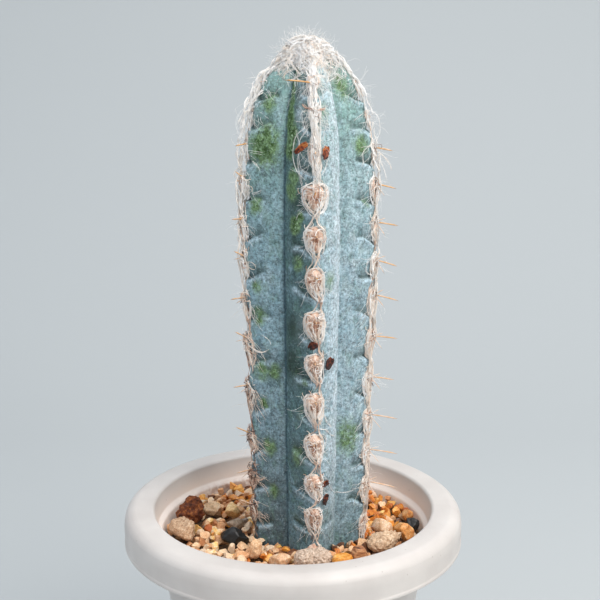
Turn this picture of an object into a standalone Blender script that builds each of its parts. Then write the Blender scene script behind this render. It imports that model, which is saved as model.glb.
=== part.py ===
"""Potted blue torch cactus: a ribbed blue stem with woolly areoles, in a white pot topped with gravel.

Metres, +Z up. The origin is the middle of the pot's foot, and the photograph looks along +Y.
"""
import math
import random

import bmesh
import bpy
from mathutils import Matrix, Vector

MM = 0.001
FIT_GAP = 0.3 * MM

# Pot
POT_HEIGHT = 120 * MM
RIM_RADIUS = 70 * MM
RIM_FLAT_RADIUS = 66 * MM
RIM_BAND = 14.4 * MM
RIM_LIP_RADIUS = 57.5 * MM
RIM_SKIN = 2 * MM
LEDGE_RADIUS = 56.3 * MM
LEDGE_DEPTH = 8.7 * MM
NECK_RADIUS = 55.5 * MM
BASE_RADIUS = 41 * MM
WALL = 1.7 * MM
FLOOR = 2.2 * MM
FOOT_HEIGHT = 2.5 * MM
FOOT_INNER_RADIUS = 35 * MM
FOOT_CHAMFER = 1.2 * MM
DRAIN_RADIUS = 4 * MM
DRAIN_CIRCLE = 24 * MM
DRAINS = 6
DRAIN_SIDES = 12
TURN_STEPS = 40
MERGE = 0.0001 * MM

# Fill, measured down from the rim's top
SOIL_TOP = POT_HEIGHT - 17 * MM
GRAVEL_TOP = POT_HEIGHT - 12.5 * MM
PEBBLE_RADIUS = 4.6 * MM
PEBBLE_SPREAD = (0.62, 1)
PEBBLE_FLATNESS = (0.72, 0.98)
PEBBLE_TOUCH = 0.95
PEBBLE_CLEARANCE = 1.15
PEBBLE_STAND = 0.3
PEBBLE_CEILING = POT_HEIGHT - 8.2 * MM
PEBBLE_TRIES = 1500
PEBBLE_SEED = 11

# Stem
STEM_X = 6.5 * MM
STEM_Y = -1 * MM
STEM_TOP = POT_HEIGHT + 187.5 * MM
STEM_FOOT = POT_HEIGHT - 42 * MM
STEM_RADIUS = 26 * MM
BELLY_HEIGHT = POT_HEIGHT + 85 * MM
# The column loses these shares of its thickness over these lengths above and below its belly
TAPER_ABOVE = (0.05, 62 * MM)
TAPER_BELOW = (0.07, 95 * MM)
# It also slims by this share from one height down, over this length
SLIMMING = (0.065, POT_HEIGHT + 125 * MM, 80 * MM)
DOME_LENGTH = 44 * MM
FOOT_LENGTH = 14 * MM
RIBS = 5
RIB_ANGLE = 2 * math.pi / RIBS
FRONT_RIB = math.radians(4.5)
GROOVE_SHARE = 0.71
FACE_BULGE = 1.5 * MM
CREST_ROUNDING = math.radians(3)
NOTCH_DEPTH = 1.5 * MM
CREASE_RISE = 2.5 * MM
COLUMNS = tuple(math.radians(degrees) for degrees in (0, 5.5, 13, 24, 36, 48, 59, 66.5))
HOLE_GAP = 0.45 * MM
SEAT_GAP = 0.55 * MM
SEAT_RINGS_EACH = (0.25, 0.75)

# Heights of the areoles above the rim, in millimetres, from the crown down each rib: front, right,
# the two behind, and left
AREOLES = (
    (174, 164, 150, 135, 119, 103, 86, 69, 53, 36, 19, 5, -11),
    (172, 161, 149, 135, 120, 105, 91, 74, 57, 41, 26, 12, -5),
    (171, 160, 146, 131, 116, 100, 84, 68, 52, 36, 21, 6, -9),
    (173, 162, 149, 134, 119, 103, 88, 71, 55, 39, 23, 8, -7),
    (172, 163, 151, 137, 122, 107, 91, 74, 55, 34, 19, 3, -12),
)
RIB_NAMES = ("front", "right", "back_right", "back_left", "left")
RINGS_ABOVE = (-1.42, -1.2, -0.8, -0.4)
RINGS_EACH = (0.38, 0.5, 0.62)
CREASE_SHARE = 0.12
RINGS_BELOW = (12, 12.8, 13.2, 13.42)
APEX = -1.5
NADIR = 13.5

# Wool and spines
WOOL_SINK = 1.2 * MM
WOOL_PAD = (4.6 * MM, 2.8 * MM)
WOOL_NECK = (1.8 * MM, 1.3 * MM)
WOOL_RINGS = ((0, 1), (0.3, 0.6), (0.5, 0.1))
WOOL_SIDES = 5
WOOL_OVERRUN = (0.3, 0.1)
WOOL_FOOT = POT_HEIGHT - 7.7 * MM
CROWN_BASE = POT_HEIGHT + 176 * MM
CROWN_TOP = POT_HEIGHT + 191 * MM
CROWN_RADIUS = 17 * MM
CROWN_LOBE = 2 * MM
CROWN_LUMP = 0.5 * MM
CROWN_RINGS = 12
CROWN_TUFTS = 30
TUFT_LENGTH = 6 * MM
TUFT_RADIUS = 0.75 * MM
TUFT_ROOT = 3 * MM
TUFT_SPREAD = math.radians(62)
GOLDEN_ANGLE = math.pi * (3 - math.sqrt(5))
SPINE_RADIUS = 0.5 * MM
SPINE_ROOT = 1.1 * MM
SPINE_STRAY = 8
SPINE_SEED = 5
# One areole's spines: turn from straight out, in degrees sideways and upwards, and share of its longest.
# The sideways turns change hands from one areole to the next.
SPINES = ((4, -6, 1.0), (-36, -34, 0.55), (38, 22, 0.5), (30, -48, 0.4))
SPINE_LENGTHS = (4.5 * MM, 10.5 * MM)

# The larger stones: place from the pot's axis, size and height, turn, and how angular, in millimetres
STONES = {
    "stone_lava_brown": ((-43.5, 11), (11.5, 10.5, 10), 20, 0.16),
    "stone_tan_flat": ((-44.5, -6), (13, 11, 8.5), -15, 0.12),
    "stone_beige": ((-35, 15.5), (8, 7, 5.5), 10, 0.1),
    "stone_pale_yellow": ((-26.5, 13), (7, 7, 6), 35, 0.1),
    "stone_grey_flat": ((-25.5, 1), (8, 6, 5), 25, 0.12),
    "stone_charcoal": ((-24.5, -14.5), (12.5, 9, 7.5), -20, 0.18),
    "stone_tan_cube": ((-15.5, -25), (7.5, 7, 8), 12, 0.14),
    "stone_pink_pebble": ((-5, -34.5), (8, 6.5, 6), 0, 0.06),
    "stone_pumice_pair": ((8, -35), (15, 9, 8), 4, 0.14),
    "stone_amber": ((20.5, -36.5), (8, 5.5, 5.5), 8, 0.03),
    "stone_layered": ((27, -29.5), (6.5, 6, 6), 30, 0.1),
    "stone_beige_long": ((37.5, -18.5), (16, 9.5, 9), 30, 0.12),
    "stone_pink_quartz": ((37, -3), (9, 7, 7.5), -10, 0.16),
    "stone_orange_angular": ((46.3, -8.2), (7.5, 7, 7.5), 20, 0.16),
    "stone_black_small": ((49.2, 1.5), (5.5, 5.5, 6), 40, 0.16),
    "stone_orange_wall": ((48.2, 10.5), (5, 6.5, 6), 10, 0.1),
}
STONE_SEED = 3
STONE_STAND = 0.3
STONE_ROUGHNESS = 0.8
# How far a pair of lumps grown together is pinched in at its waist, in height and in depth
WAIST = (0.22, 0.3)


def clear_scene():
    for thing in list(bpy.data.objects):
        bpy.data.objects.remove(thing, do_unlink=True)


def new_collection(name):
    collection = bpy.data.collections.new(name)
    bpy.context.scene.collection.children.link(collection)
    return collection


def new_material(name, red, green, blue, roughness):
    material = bpy.data.materials.new(name)
    material.use_nodes = True
    shader = material.node_tree.nodes["Principled BSDF"]
    shader.inputs["Base Color"].default_value = (red, green, blue, 1)
    shader.inputs["Roughness"].default_value = roughness
    return material


def new_object(name, bm, collection, material=None):
    """Turn a finished bmesh into a named object."""
    bmesh.ops.recalc_face_normals(bm, faces=bm.faces)
    mesh = bpy.data.meshes.new(name)
    bm.to_mesh(mesh)
    bm.free()
    thing = bpy.data.objects.new(name, mesh)
    collection.objects.link(thing)
    if material:
        mesh.materials.append(material)
    return thing


def new_guide(name, bm):
    guide = new_object(name, bm, guides)
    guide.hide_render = True
    guide.display_type = "WIRE"
    return guide


def apply_modifiers(thing):
    """Bake the modifiers into the object's own mesh."""
    bpy.context.view_layer.update()
    evaluated = thing.evaluated_get(bpy.context.evaluated_depsgraph_get())
    mesh = bpy.data.meshes.new_from_object(evaluated)
    thing.modifiers.clear()
    thing.data = mesh


def cut(thing, cutter):
    """Cut one solid with another and keep the result."""
    modifier = thing.modifiers.new("cut", "BOOLEAN")
    modifier.operation = "DIFFERENCE"
    modifier.solver = "MANIFOLD"
    modifier.object = cutter
    apply_modifiers(thing)


def fuse(thing, repeats):
    """Join a collection of repeats to what they grow from, and drop the loose originals."""
    modifier = thing.modifiers.new("fuse", "BOOLEAN")
    modifier.operation = "UNION"
    modifier.solver = "MANIFOLD"
    modifier.operand_type = "COLLECTION"
    modifier.collection = repeats
    apply_modifiers(thing)
    for repeat in list(repeats.objects):
        bpy.data.objects.remove(repeat, do_unlink=True)
    bpy.data.collections.remove(repeats)


def trim(bm, height, keep_above):
    """Cut a bmesh with a level plane, close the cut, and keep one side."""
    everything = bm.verts[:] + bm.edges[:] + bm.faces[:]
    bmesh.ops.bisect_plane(
        bm, geom=everything, plane_co=(0, 0, height), plane_no=(0, 0, 1),
        clear_inner=keep_above, clear_outer=not keep_above,
    )
    rim = [edge for edge in bm.edges if edge.is_boundary]
    bmesh.ops.holes_fill(bm, edges=rim)


def turned(name, profile, material):
    """Spin a profile of (radius, height) points round the pot's axis."""
    bm = bmesh.new()
    points = [bm.verts.new((radius, 0, height)) for radius, height in profile]
    for start, end in zip(points, points[1:]):
        bm.edges.new((start, end))
    thing = new_object(name, bm, parts, material)
    screw = thing.modifiers.new("turn", "SCREW")
    screw.steps = TURN_STEPS
    screw.render_steps = TURN_STEPS
    screw.use_merge_vertices = True
    screw.merge_threshold = MERGE
    screw.use_smooth_shade = False
    apply_modifiers(thing)
    return thing


def inner_radius(height):
    """Radius of the pot's inner wall below the ledge."""
    outer = BASE_RADIUS + (NECK_RADIUS - BASE_RADIUS) * height / (POT_HEIGHT - RIM_BAND)
    return outer - WALL


def make_pot():
    """One moulded shell: inside up, over the rim, down the band, under it, and down the outer wall."""
    floor_top = FOOT_HEIGHT + FLOOR
    band_foot = POT_HEIGHT - RIM_BAND
    band_inside = RIM_RADIUS - RIM_SKIN
    step = POT_HEIGHT - LEDGE_DEPTH
    bend = (RIM_RADIUS - RIM_FLAT_RADIUS) * (1 - math.sqrt(0.5))
    profile = (
        (0, floor_top),
        (inner_radius(floor_top) - FOOT_CHAMFER, floor_top),
        (inner_radius(floor_top + FOOT_CHAMFER), floor_top + FOOT_CHAMFER),
        (inner_radius(step - WALL), step - WALL),
        (LEDGE_RADIUS, step),
        (RIM_LIP_RADIUS, POT_HEIGHT - RIM_SKIN / 2),
        (RIM_LIP_RADIUS + RIM_SKIN / 2, POT_HEIGHT),
        (RIM_FLAT_RADIUS, POT_HEIGHT),
        (RIM_RADIUS - bend, POT_HEIGHT - bend),
        (RIM_RADIUS, POT_HEIGHT - RIM_RADIUS + RIM_FLAT_RADIUS),
        (RIM_RADIUS, band_foot),
        (band_inside, band_foot),
        (band_inside, POT_HEIGHT - RIM_SKIN - bend),
        (LEDGE_RADIUS + WALL + RIM_SKIN, POT_HEIGHT - RIM_SKIN),
        (NECK_RADIUS + WALL, step - WALL),
        (NECK_RADIUS, band_foot),
        (BASE_RADIUS, FOOT_CHAMFER),
        (BASE_RADIUS - FOOT_CHAMFER, 0),
        (FOOT_INNER_RADIUS, 0),
        (FOOT_INNER_RADIUS - FOOT_CHAMFER, FOOT_HEIGHT),
        (0, FOOT_HEIGHT),
    )
    white = new_material("white_plastic", 0.72, 0.69, 0.66, 0.45)
    pot = turned("pot", profile, white)
    for index in range(DRAINS):
        turn = 2 * math.pi * index / DRAINS
        place = Vector((DRAIN_CIRCLE * math.cos(turn), DRAIN_CIRCLE * math.sin(turn), floor_top / 2))
        bm = bmesh.new()
        bmesh.ops.create_cone(
            bm, segments=DRAIN_SIDES, radius1=DRAIN_RADIUS, radius2=DRAIN_RADIUS, depth=2 * floor_top,
            cap_ends=True, matrix=Matrix.Translation(place),
        )
        cut(pot, new_guide(f"drain_cutter_{index}", bm))
    return pot


def belly(height):
    """How far the column swells at a height, without its domed ends."""
    loss, length = TAPER_ABOVE if height > BELLY_HEIGHT else TAPER_BELOW
    barrel = 1 - loss * ((height - BELLY_HEIGHT) / length) ** 2
    part, start, span = SLIMMING
    share = min(max((start - height) / span, 0), 1)
    return barrel * (1 - part * share * share * (3 - 2 * share))


def crest_radius(height):
    """Radius of a rib's crest: a slim barrel with an egg-shaped top and a round foot."""
    dome = max(0, 1 - (STEM_TOP - height) / DOME_LENGTH)
    foot = max(0, 1 - (height - STEM_FOOT) / FOOT_LENGTH)
    ends = math.sqrt(max(0, 1 - dome ** 2)) * math.sqrt(max(0, 1 - foot ** 2))
    return STEM_RADIUS * belly(height) * ends


def face_radius(turn, crest):
    """Radius at an angle from a rib's crest: nearly flat faces that meet in a sharp groove."""
    half = RIB_ANGLE / 2
    rounded = math.hypot(turn, CREST_ROUNDING) - CREST_ROUNDING
    turn = rounded * half / (math.hypot(half, CREST_ROUNDING) - CREST_ROUNDING)
    groove = crest * GROOVE_SHARE
    flat = crest * groove * math.sin(half) / (groove * math.sin(half - turn) + crest * math.sin(turn))
    bulge = FACE_BULGE * crest / STEM_RADIUS
    return flat + bulge * math.sin(math.pi * turn / half)


def areole_height(rib, along):
    """Height on a rib for a place along it: 0 is its top areole, 1 the next one down."""
    heights = [POT_HEIGHT + value * MM for value in AREOLES[rib % RIBS]]
    if along < 0:
        share = along / APEX
        return heights[0] + (STEM_TOP - heights[0]) * share
    if along > len(heights) - 1:
        share = (along - len(heights) + 1) / (NADIR - len(heights) + 1)
        return heights[-1] + (STEM_FOOT - heights[-1]) * share
    index = min(int(along), len(heights) - 2)
    return heights[index] + (heights[index + 1] - heights[index]) * (along - index)


def crease(along):
    """Depth of the crease that parts each areole's tubercle from the next."""
    if along < 0 or along > len(AREOLES[0]) - 1:
        return 0
    return NOTCH_DEPTH * max(0, 1 - abs(along % 1 - 0.5) / CREASE_SHARE)


def stem_point(column, along, offset=0.0):
    """A point of the stem's skin, or one that lies an offset outside it."""
    rib, place = divmod(column, len(COLUMNS))
    turn = COLUMNS[place]
    half = RIB_ANGLE / 2
    from_crest = min(turn, RIB_ANGLE - turn)
    nearest = rib if turn <= half else rib + 1
    side = (from_crest / half) ** 1.5
    own = areole_height(nearest, along)
    middle = (areole_height(rib, along) + areole_height(rib + 1, along)) / 2
    height = own + (middle - own) * side
    inside = 0 < along < len(AREOLES[0])
    rise = CREASE_RISE * math.sin(math.pi * from_crest / half) if inside else 0
    radius = face_radius(from_crest, crest_radius(height)) - crease(along) * (1 - (from_crest / half) ** 2)
    azimuth = FRONT_RIB + rib * RIB_ANGLE + turn
    return on_axis(height + rise) + outward(azimuth) * (radius + offset)


def outward(azimuth):
    """The level direction at an azimuth, which is 0 towards the front and grows towards the right."""
    return Vector((math.sin(azimuth), -math.cos(azimuth), 0))


def on_axis(height):
    """A point of the stem's axis."""
    return Vector((STEM_X, STEM_Y, height))


def crest_point(rib, along):
    """A point on a rib's crest line, which runs level over the creases."""
    height = areole_height(rib, along)
    return on_axis(height) + outward(FRONT_RIB + rib * RIB_ANGLE) * crest_radius(height)


def stem_mesh(offset=0.0, rings_each=RINGS_EACH):
    """A sphere whose rings and columns are laid on the ribs, from the growing tip to the buried foot."""
    rings = list(RINGS_ABOVE)
    for index in range(len(AREOLES[0]) - 1):
        rings += [index + part for part in rings_each]
    rings += list(RINGS_BELOW)
    around = RIBS * len(COLUMNS)
    bm = bmesh.new()
    bmesh.ops.create_uvsphere(bm, u_segments=around, v_segments=len(rings) + 1, radius=1)
    for vert in bm.verts:
        level = round(math.acos(max(-1, min(1, vert.co.z))) / math.pi * (len(rings) + 1))
        if level == 0:
            vert.co = on_axis(STEM_TOP + offset)
        elif level > len(rings):
            vert.co = on_axis(STEM_FOOT - offset)
        else:
            column = round(math.atan2(vert.co.y, vert.co.x) / (2 * math.pi) * around) % around
            vert.co = stem_point(column, rings[level - 1], offset)
    return bm


def make_stem():
    blue = new_material("blue_skin", 0.13, 0.26, 0.32, 0.6)
    return new_object("stem", stem_mesh(), parts, blue)


def make_soil():
    """The potting mix: it fills the pot below the gravel, with a plain round hole for the stem."""
    bottom = FOOT_HEIGHT + FLOOR + FIT_GAP
    profile = (
        (0, SOIL_TOP),
        (inner_radius(SOIL_TOP) - FIT_GAP, SOIL_TOP),
        (inner_radius(bottom + FOOT_CHAMFER) - FIT_GAP, bottom + FOOT_CHAMFER),
        (inner_radius(bottom) - FOOT_CHAMFER - FIT_GAP, bottom),
        (0, bottom),
    )
    brown = new_material("potting_mix", 0.05, 0.035, 0.025, 0.95)
    soil = turned("soil", profile, brown)
    hole_radius = crest_radius(SOIL_TOP) + FIT_GAP
    depth = SOIL_TOP - STEM_FOOT + FIT_GAP
    bm = bmesh.new()
    bmesh.ops.create_cone(
        bm, segments=TURN_STEPS, radius1=hole_radius, radius2=hole_radius, depth=2 * depth,
        cap_ends=True, matrix=Matrix.Translation(on_axis(SOIL_TOP)),
    )
    cut(soil, new_guide("soil_hole", bm))
    return soil


def clear_of_stem(x, y, reach):
    """Whether a round footprint stays off the stem."""
    dx = x - STEM_X
    dy = y - STEM_Y
    azimuth = (math.atan2(dx, -dy) - FRONT_RIB) % RIB_ANGLE
    skin = face_radius(min(azimuth, RIB_ANGLE - azimuth), crest_radius(GRAVEL_TOP))
    return math.hypot(dx, dy) - skin > reach


def clear_of_stones(x, y, reach):
    """Whether a round footprint stays off every larger stone."""
    for (stone_x, stone_y), size, _, _ in STONES.values():
        stone_reach = max(size[0], size[1]) / 2 * MM
        if math.hypot(x - stone_x * MM, y - stone_y * MM) < stone_reach + reach + FIT_GAP:
            return False
    return True


def pebble_places(rng):
    """Seeded places for the small pebbles, packed side by side and clear of stem, stones and wall."""
    limit = inner_radius(GRAVEL_TOP) - FIT_GAP
    places = []
    for _ in range(PEBBLE_TRIES):
        radius = PEBBLE_RADIUS * rng.uniform(*PEBBLE_SPREAD)
        reach = radius * PEBBLE_CLEARANCE
        distance = math.sqrt(rng.uniform(0, 1)) * (limit - reach)
        turn = rng.uniform(0, 2 * math.pi)
        x = distance * math.cos(turn)
        y = distance * math.sin(turn)
        apart = all(math.hypot(x - px, y - py) > (radius + pr) * PEBBLE_TOUCH for px, py, pr in places)
        if apart and clear_of_stem(x, y, reach) and clear_of_stones(x, y, reach):
            places.append((x, y, radius))
    return places


def make_gravel():
    """A bed of gravel whose small pebbles stand out of its top."""
    rng = random.Random(PEBBLE_SEED)
    bottom = SOIL_TOP + FIT_GAP
    profile = (
        (0, GRAVEL_TOP),
        (inner_radius(GRAVEL_TOP) - FIT_GAP, GRAVEL_TOP),
        (inner_radius(bottom) - FIT_GAP, bottom),
        (0, bottom),
    )
    tan = new_material("mixed_gravel", 0.42, 0.27, 0.15, 0.75)
    gravel = turned("gravel", profile, tan)
    cut(gravel, new_guide("stem_hole", stem_mesh(HOLE_GAP)))
    pebbles = new_collection("pebbles")
    for index, (x, y, radius) in enumerate(pebble_places(rng)):
        bm = bmesh.new()
        flat = rng.uniform(*PEBBLE_FLATNESS)
        centre = min(GRAVEL_TOP + radius * PEBBLE_STAND, PEBBLE_CEILING - radius * flat)
        turn = Matrix.Rotation(rng.uniform(0, math.pi), 4, "Z")
        scale = Matrix.Diagonal((1, rng.uniform(*PEBBLE_FLATNESS), flat, 1))
        bmesh.ops.create_icosphere(
            bm, subdivisions=1, radius=radius, matrix=Matrix.Translation((x, y, centre)) @ turn @ scale,
        )
        new_object(f"pebble_{index}", bm, pebbles)
    fuse(gravel, pebbles)
    return gravel


def stone_colour(name):
    """A plain colour for each stone, read from its name."""
    colours = {
        "lava": (0.06, 0.03, 0.02), "charcoal": (0.012, 0.012, 0.014), "black": (0.02, 0.02, 0.022),
        "amber": (0.5, 0.2, 0.05), "orange": (0.48, 0.21, 0.07), "yellow": (0.55, 0.4, 0.2),
        "grey": (0.25, 0.22, 0.2), "pink": (0.42, 0.27, 0.2), "layered": (0.3, 0.17, 0.1),
        "pumice": (0.4, 0.3, 0.22), "tan": (0.42, 0.29, 0.19), "beige": (0.5, 0.36, 0.24),
    }
    for word, colour in colours.items():
        if word in name:
            return colour
    return colours["beige"]


def make_stone(name, rng):
    """A rough pebble with a flat underside, which rests on the gravel."""
    (x, y), size, degrees, rough = STONES[name]
    bm = bmesh.new()
    bmesh.ops.create_icosphere(bm, subdivisions=2, radius=0.5)
    for vert in bm.verts:
        vert.co *= 1 - rough * rng.random()
        if "pair" in name:
            pinch = 1 - abs(math.sin(math.pi * vert.co.x))
            vert.co.z *= 1 - WAIST[0] * pinch
            vert.co.y *= 1 - WAIST[1] * pinch
    bed = GRAVEL_TOP + FIT_GAP
    lift = bed + size[2] * MM * STONE_STAND
    turn = Matrix.Rotation(math.radians(degrees), 4, "Z")
    scale = Matrix.Diagonal((size[0] * MM, size[1] * MM, size[2] * MM, 1))
    bm.transform(Matrix.Translation((x * MM, y * MM, lift)) @ turn @ scale)
    trim(bm, bed, keep_above=True)
    return new_object(name, bm, parts, new_material(name, *stone_colour(name), STONE_ROUGHNESS))


def wool_size(share):
    """Half width and thickness between a neck, at 0, and a full pad, at 1."""
    return [neck + (pad - neck) * share for pad, neck in zip(WOOL_PAD, WOOL_NECK)]


def wool_rings():
    """Places along a rib, with the share of a full pad at each: tear-drops joined by narrow necks."""
    rings = []
    for index in range(len(AREOLES[0]) - 1):
        rings += [(index + part, share) for part, share in WOOL_RINGS]
    return rings


def wool_mesh(rib):
    """A chain of felt pads laid along one rib's crest, its underside sunk into the rib."""
    rings = wool_rings()
    bm = bmesh.new()
    bmesh.ops.create_uvsphere(bm, u_segments=WOOL_SIDES, v_segments=len(rings) + 1, radius=1)
    azimuth = FRONT_RIB + rib * RIB_ANGLE
    out = outward(azimuth)
    aside = outward(azimuth + math.pi / 2)
    for vert in bm.verts:
        level = round(math.acos(max(-1, min(1, vert.co.z))) / math.pi * (len(rings) + 1))
        turn = math.atan2(vert.co.y, vert.co.x) + math.pi / 2
        ring = min(max(level - 1, 0), len(rings) - 1)
        along, share = rings[ring]
        end = level in (0, len(rings) + 1)
        if end:
            along += -WOOL_OVERRUN[0] if level == 0 else WOOL_OVERRUN[1]
        width, thick = wool_size(share)
        crest = crest_point(rib, along)
        lift = -WOOL_SINK if end else (thick + WOOL_SINK) * math.cos(turn) - WOOL_SINK
        vert.co = crest + out * lift + aside * (0 if end else width * math.sin(turn))
    trim(bm, CROWN_BASE - FIT_GAP, keep_above=False)
    trim(bm, WOOL_FOOT, keep_above=True)
    return bm


def add_spike(collection, name, root, direction, length, radius):
    """A three-sided spike with its root sunk into what it grows from."""
    bm = bmesh.new()
    turn = direction.to_track_quat("Z", "Y").to_matrix().to_4x4()
    middle = Matrix.Translation(root) @ turn @ Matrix.Translation((0, 0, length / 2))
    bmesh.ops.create_cone(
        bm, segments=3, radius1=radius, radius2=0, depth=length, cap_ends=True, matrix=middle,
    )
    new_object(name, bm, collection)


def make_wool_rib(rib, wool_seat, wool, rng):
    """One rib's felt pads and strands, with the spines that grow out of them."""
    chain = new_object(f"wool_rib_{RIB_NAMES[rib]}", wool_mesh(rib), parts, wool)
    cut(chain, wool_seat)
    spines = new_collection("spines")
    azimuth = FRONT_RIB + rib * RIB_ANGLE
    for index in range(1, len(AREOLES[rib])):
        height = areole_height(rib, index)
        if height < POT_HEIGHT:
            continue
        share = (STEM_TOP - height) / (STEM_TOP - POT_HEIGHT)
        longest = SPINE_LENGTHS[0] + (SPINE_LENGTHS[1] - SPINE_LENGTHS[0]) * share
        crest = crest_point(rib, index)
        for number, (sideways, upwards, part) in enumerate(SPINES):
            turn = azimuth + math.radians(sideways * (-1) ** index + rng.uniform(-SPINE_STRAY, SPINE_STRAY))
            tilt = math.radians(upwards + rng.uniform(-SPINE_STRAY, SPINE_STRAY))
            direction = outward(turn) * math.cos(tilt) + Vector((0, 0, math.sin(tilt)))
            root = crest + direction * SPINE_ROOT
            length = longest * part + WOOL_PAD[1]
            add_spike(spines, f"spine_{index}_{number}", root, direction, length, SPINE_RADIUS)
    fuse(chain, spines)
    return chain


def crown_mesh(rng):
    """A lobed cap that follows the five ribs over the growing tip."""
    bm = bmesh.new()
    bmesh.ops.create_uvsphere(bm, u_segments=RIBS * 4, v_segments=CROWN_RINGS, radius=1)
    tall = CROWN_TOP - CROWN_BASE
    for vert in bm.verts:
        azimuth = math.atan2(vert.co.x, -vert.co.y)
        lobe = CROWN_LOBE * math.cos(RIBS * (azimuth - FRONT_RIB))
        level = math.hypot(vert.co.x, vert.co.y)
        reach = (CROWN_RADIUS + lobe + rng.uniform(-CROWN_LUMP, CROWN_LUMP)) * level
        vert.co = on_axis(CROWN_BASE + vert.co.z * tall) + outward(azimuth) * reach
    trim(bm, CROWN_BASE, keep_above=True)
    return bm


def make_crown(wool_seat, wool, rng):
    """The dense white wool on the growing tip, with tufts that stand up out of it."""
    crown = new_object("crown_wool", crown_mesh(rng), parts, wool)
    cut(crown, wool_seat)
    tufts = new_collection("tufts")
    tall = CROWN_TOP - CROWN_BASE
    for index in range(CROWN_TUFTS):
        rise = math.pi / 2 - TUFT_SPREAD * math.sqrt((index + 0.5) / CROWN_TUFTS)
        out = outward(index * GOLDEN_ANGLE)
        height = CROWN_BASE + (tall - TUFT_ROOT) * math.sin(rise)
        root = on_axis(height) + out * (CROWN_RADIUS - TUFT_ROOT) * math.cos(rise)
        direction = out * math.cos(rise) + Vector((0, 0, math.sin(rise)))
        length = TUFT_LENGTH * rng.uniform(0.8, 1.2)
        add_spike(tufts, f"tuft_{index}", root, direction, length, TUFT_RADIUS)
    fuse(crown, tufts)
    return crown


clear_scene()
parts = new_collection("potted_blue_torch_cactus")
guides = new_collection("guides")
make_pot()
make_soil()
make_gravel()
stone_rng = random.Random(STONE_SEED)
for stone_name in STONES:
    make_stone(stone_name, stone_rng)
make_stem()
seat = new_guide("wool_seat", stem_mesh(SEAT_GAP, SEAT_RINGS_EACH))
cream_wool = new_material("cream_wool", 0.66, 0.55, 0.47, 0.95)
spine_rng = random.Random(SPINE_SEED)
for rib_index in range(RIBS):
    make_wool_rib(rib_index, seat, cream_wool, spine_rng)
white_wool = new_material("white_wool", 0.78, 0.74, 0.7, 0.95)
make_crown(seat, white_wool, spine_rng)
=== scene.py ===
# %% [markdown]
# # A potted blue torch cactus
# One ribbed blue column with white wool on its crown and hairy areoles down its five ribs stands in a
# white plastic pot topped with mixed gravel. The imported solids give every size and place. This lesson
# dresses them: it models the moulded pot, the pebbles, the creased waxy skin, the wool and the spines.
# %% The frame
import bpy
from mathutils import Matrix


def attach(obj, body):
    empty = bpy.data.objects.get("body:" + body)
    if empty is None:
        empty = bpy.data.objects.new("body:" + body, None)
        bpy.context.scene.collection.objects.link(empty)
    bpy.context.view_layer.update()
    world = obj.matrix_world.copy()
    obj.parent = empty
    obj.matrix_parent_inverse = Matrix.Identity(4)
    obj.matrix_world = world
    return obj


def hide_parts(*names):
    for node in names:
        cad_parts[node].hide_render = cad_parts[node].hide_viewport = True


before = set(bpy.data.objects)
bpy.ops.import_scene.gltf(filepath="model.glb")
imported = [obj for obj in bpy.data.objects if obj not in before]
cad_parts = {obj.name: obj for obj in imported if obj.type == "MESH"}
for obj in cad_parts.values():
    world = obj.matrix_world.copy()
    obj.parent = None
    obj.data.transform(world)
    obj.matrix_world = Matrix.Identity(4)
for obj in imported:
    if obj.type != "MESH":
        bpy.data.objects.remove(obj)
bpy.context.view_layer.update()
print("solids:", sorted(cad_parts))

# %% [markdown]
# ## Small tools
# Colours are given as hex values, as on a screen, and Blender's shaders want linear numbers, so one
# function turns one into the other. A second adds a shader node with its settings and its links. All
# lengths below are written in millimetres times MM, because the frame is in metres.
# %% Units, colours and nodes
import math
import random

import bpy
import numpy as np
from mathutils import Matrix, Vector

MM = 0.001
BODY = "root"


def colour(code):
    """A hex colour, as a screen shows it, in linear red, green, blue and alpha."""
    parts = [int(code[place:place + 2], 16) / 255 for place in (1, 3, 5)]
    linear = [part / 12.92 if part <= 0.04045 else ((part + 0.055) / 1.055) ** 2.4 for part in parts]
    return (*linear, 1.0)


def add(tree, kind, inputs=None, stops=None, **settings):
    """Add a shader node: its settings, its ramp's stops, and inputs that are values or other outputs."""
    node = tree.nodes.new(kind)
    for name, value in settings.items():
        setattr(node, name, value)
    for name, value in (inputs or {}).items():
        if isinstance(value, bpy.types.NodeSocket):
            tree.links.new(value, node.inputs[name])
        else:
            node.inputs[name].default_value = value
    if stops:
        ramp = node.color_ramp
        while len(ramp.elements) < len(stops):
            ramp.elements.new(0.5)
        for element, (place, code) in zip(ramp.elements, stops):
            element.position = place
            element.color = colour(code)
    return node


def new_material(name, **values):
    """A Principled material whose fixed values sit on the shader's own sockets."""
    material = bpy.data.materials.new(name)
    material.use_nodes = True
    shader = material.node_tree.nodes["Principled BSDF"]
    for socket, value in values.items():
        shader.inputs[socket.replace("_", " ")].default_value = value
    return material, material.node_tree, shader


# %% [markdown]
# ## Modelling helpers
# Every operator works on what is selected, and the loaded solids come in selected, so everything is
# deselected before each new shape. A finished piece rides on the one body, and any solids that it
# replaces are hidden.
# %% Selecting, finishing and joining
def deselect():
    bpy.ops.object.select_all(action="DESELECT")


def make_active(thing):
    deselect()
    thing.select_set(True)
    bpy.context.view_layer.objects.active = thing


def named(name):
    """Name the primitive that was just added."""
    thing = bpy.context.object
    thing.name = name
    thing.data.name = name
    return thing


def edit(thing, select="SELECT"):
    make_active(thing)
    bpy.ops.object.mode_set(mode="EDIT")
    bpy.ops.mesh.select_all(action=select)


def leave_edit():
    bpy.ops.object.mode_set(mode="OBJECT")


def apply_place(thing):
    """Put the object at the origin, unturned and unscaled, with its place in its mesh."""
    make_active(thing)
    bpy.ops.object.transform_apply(location=True, rotation=True, scale=True)


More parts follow.
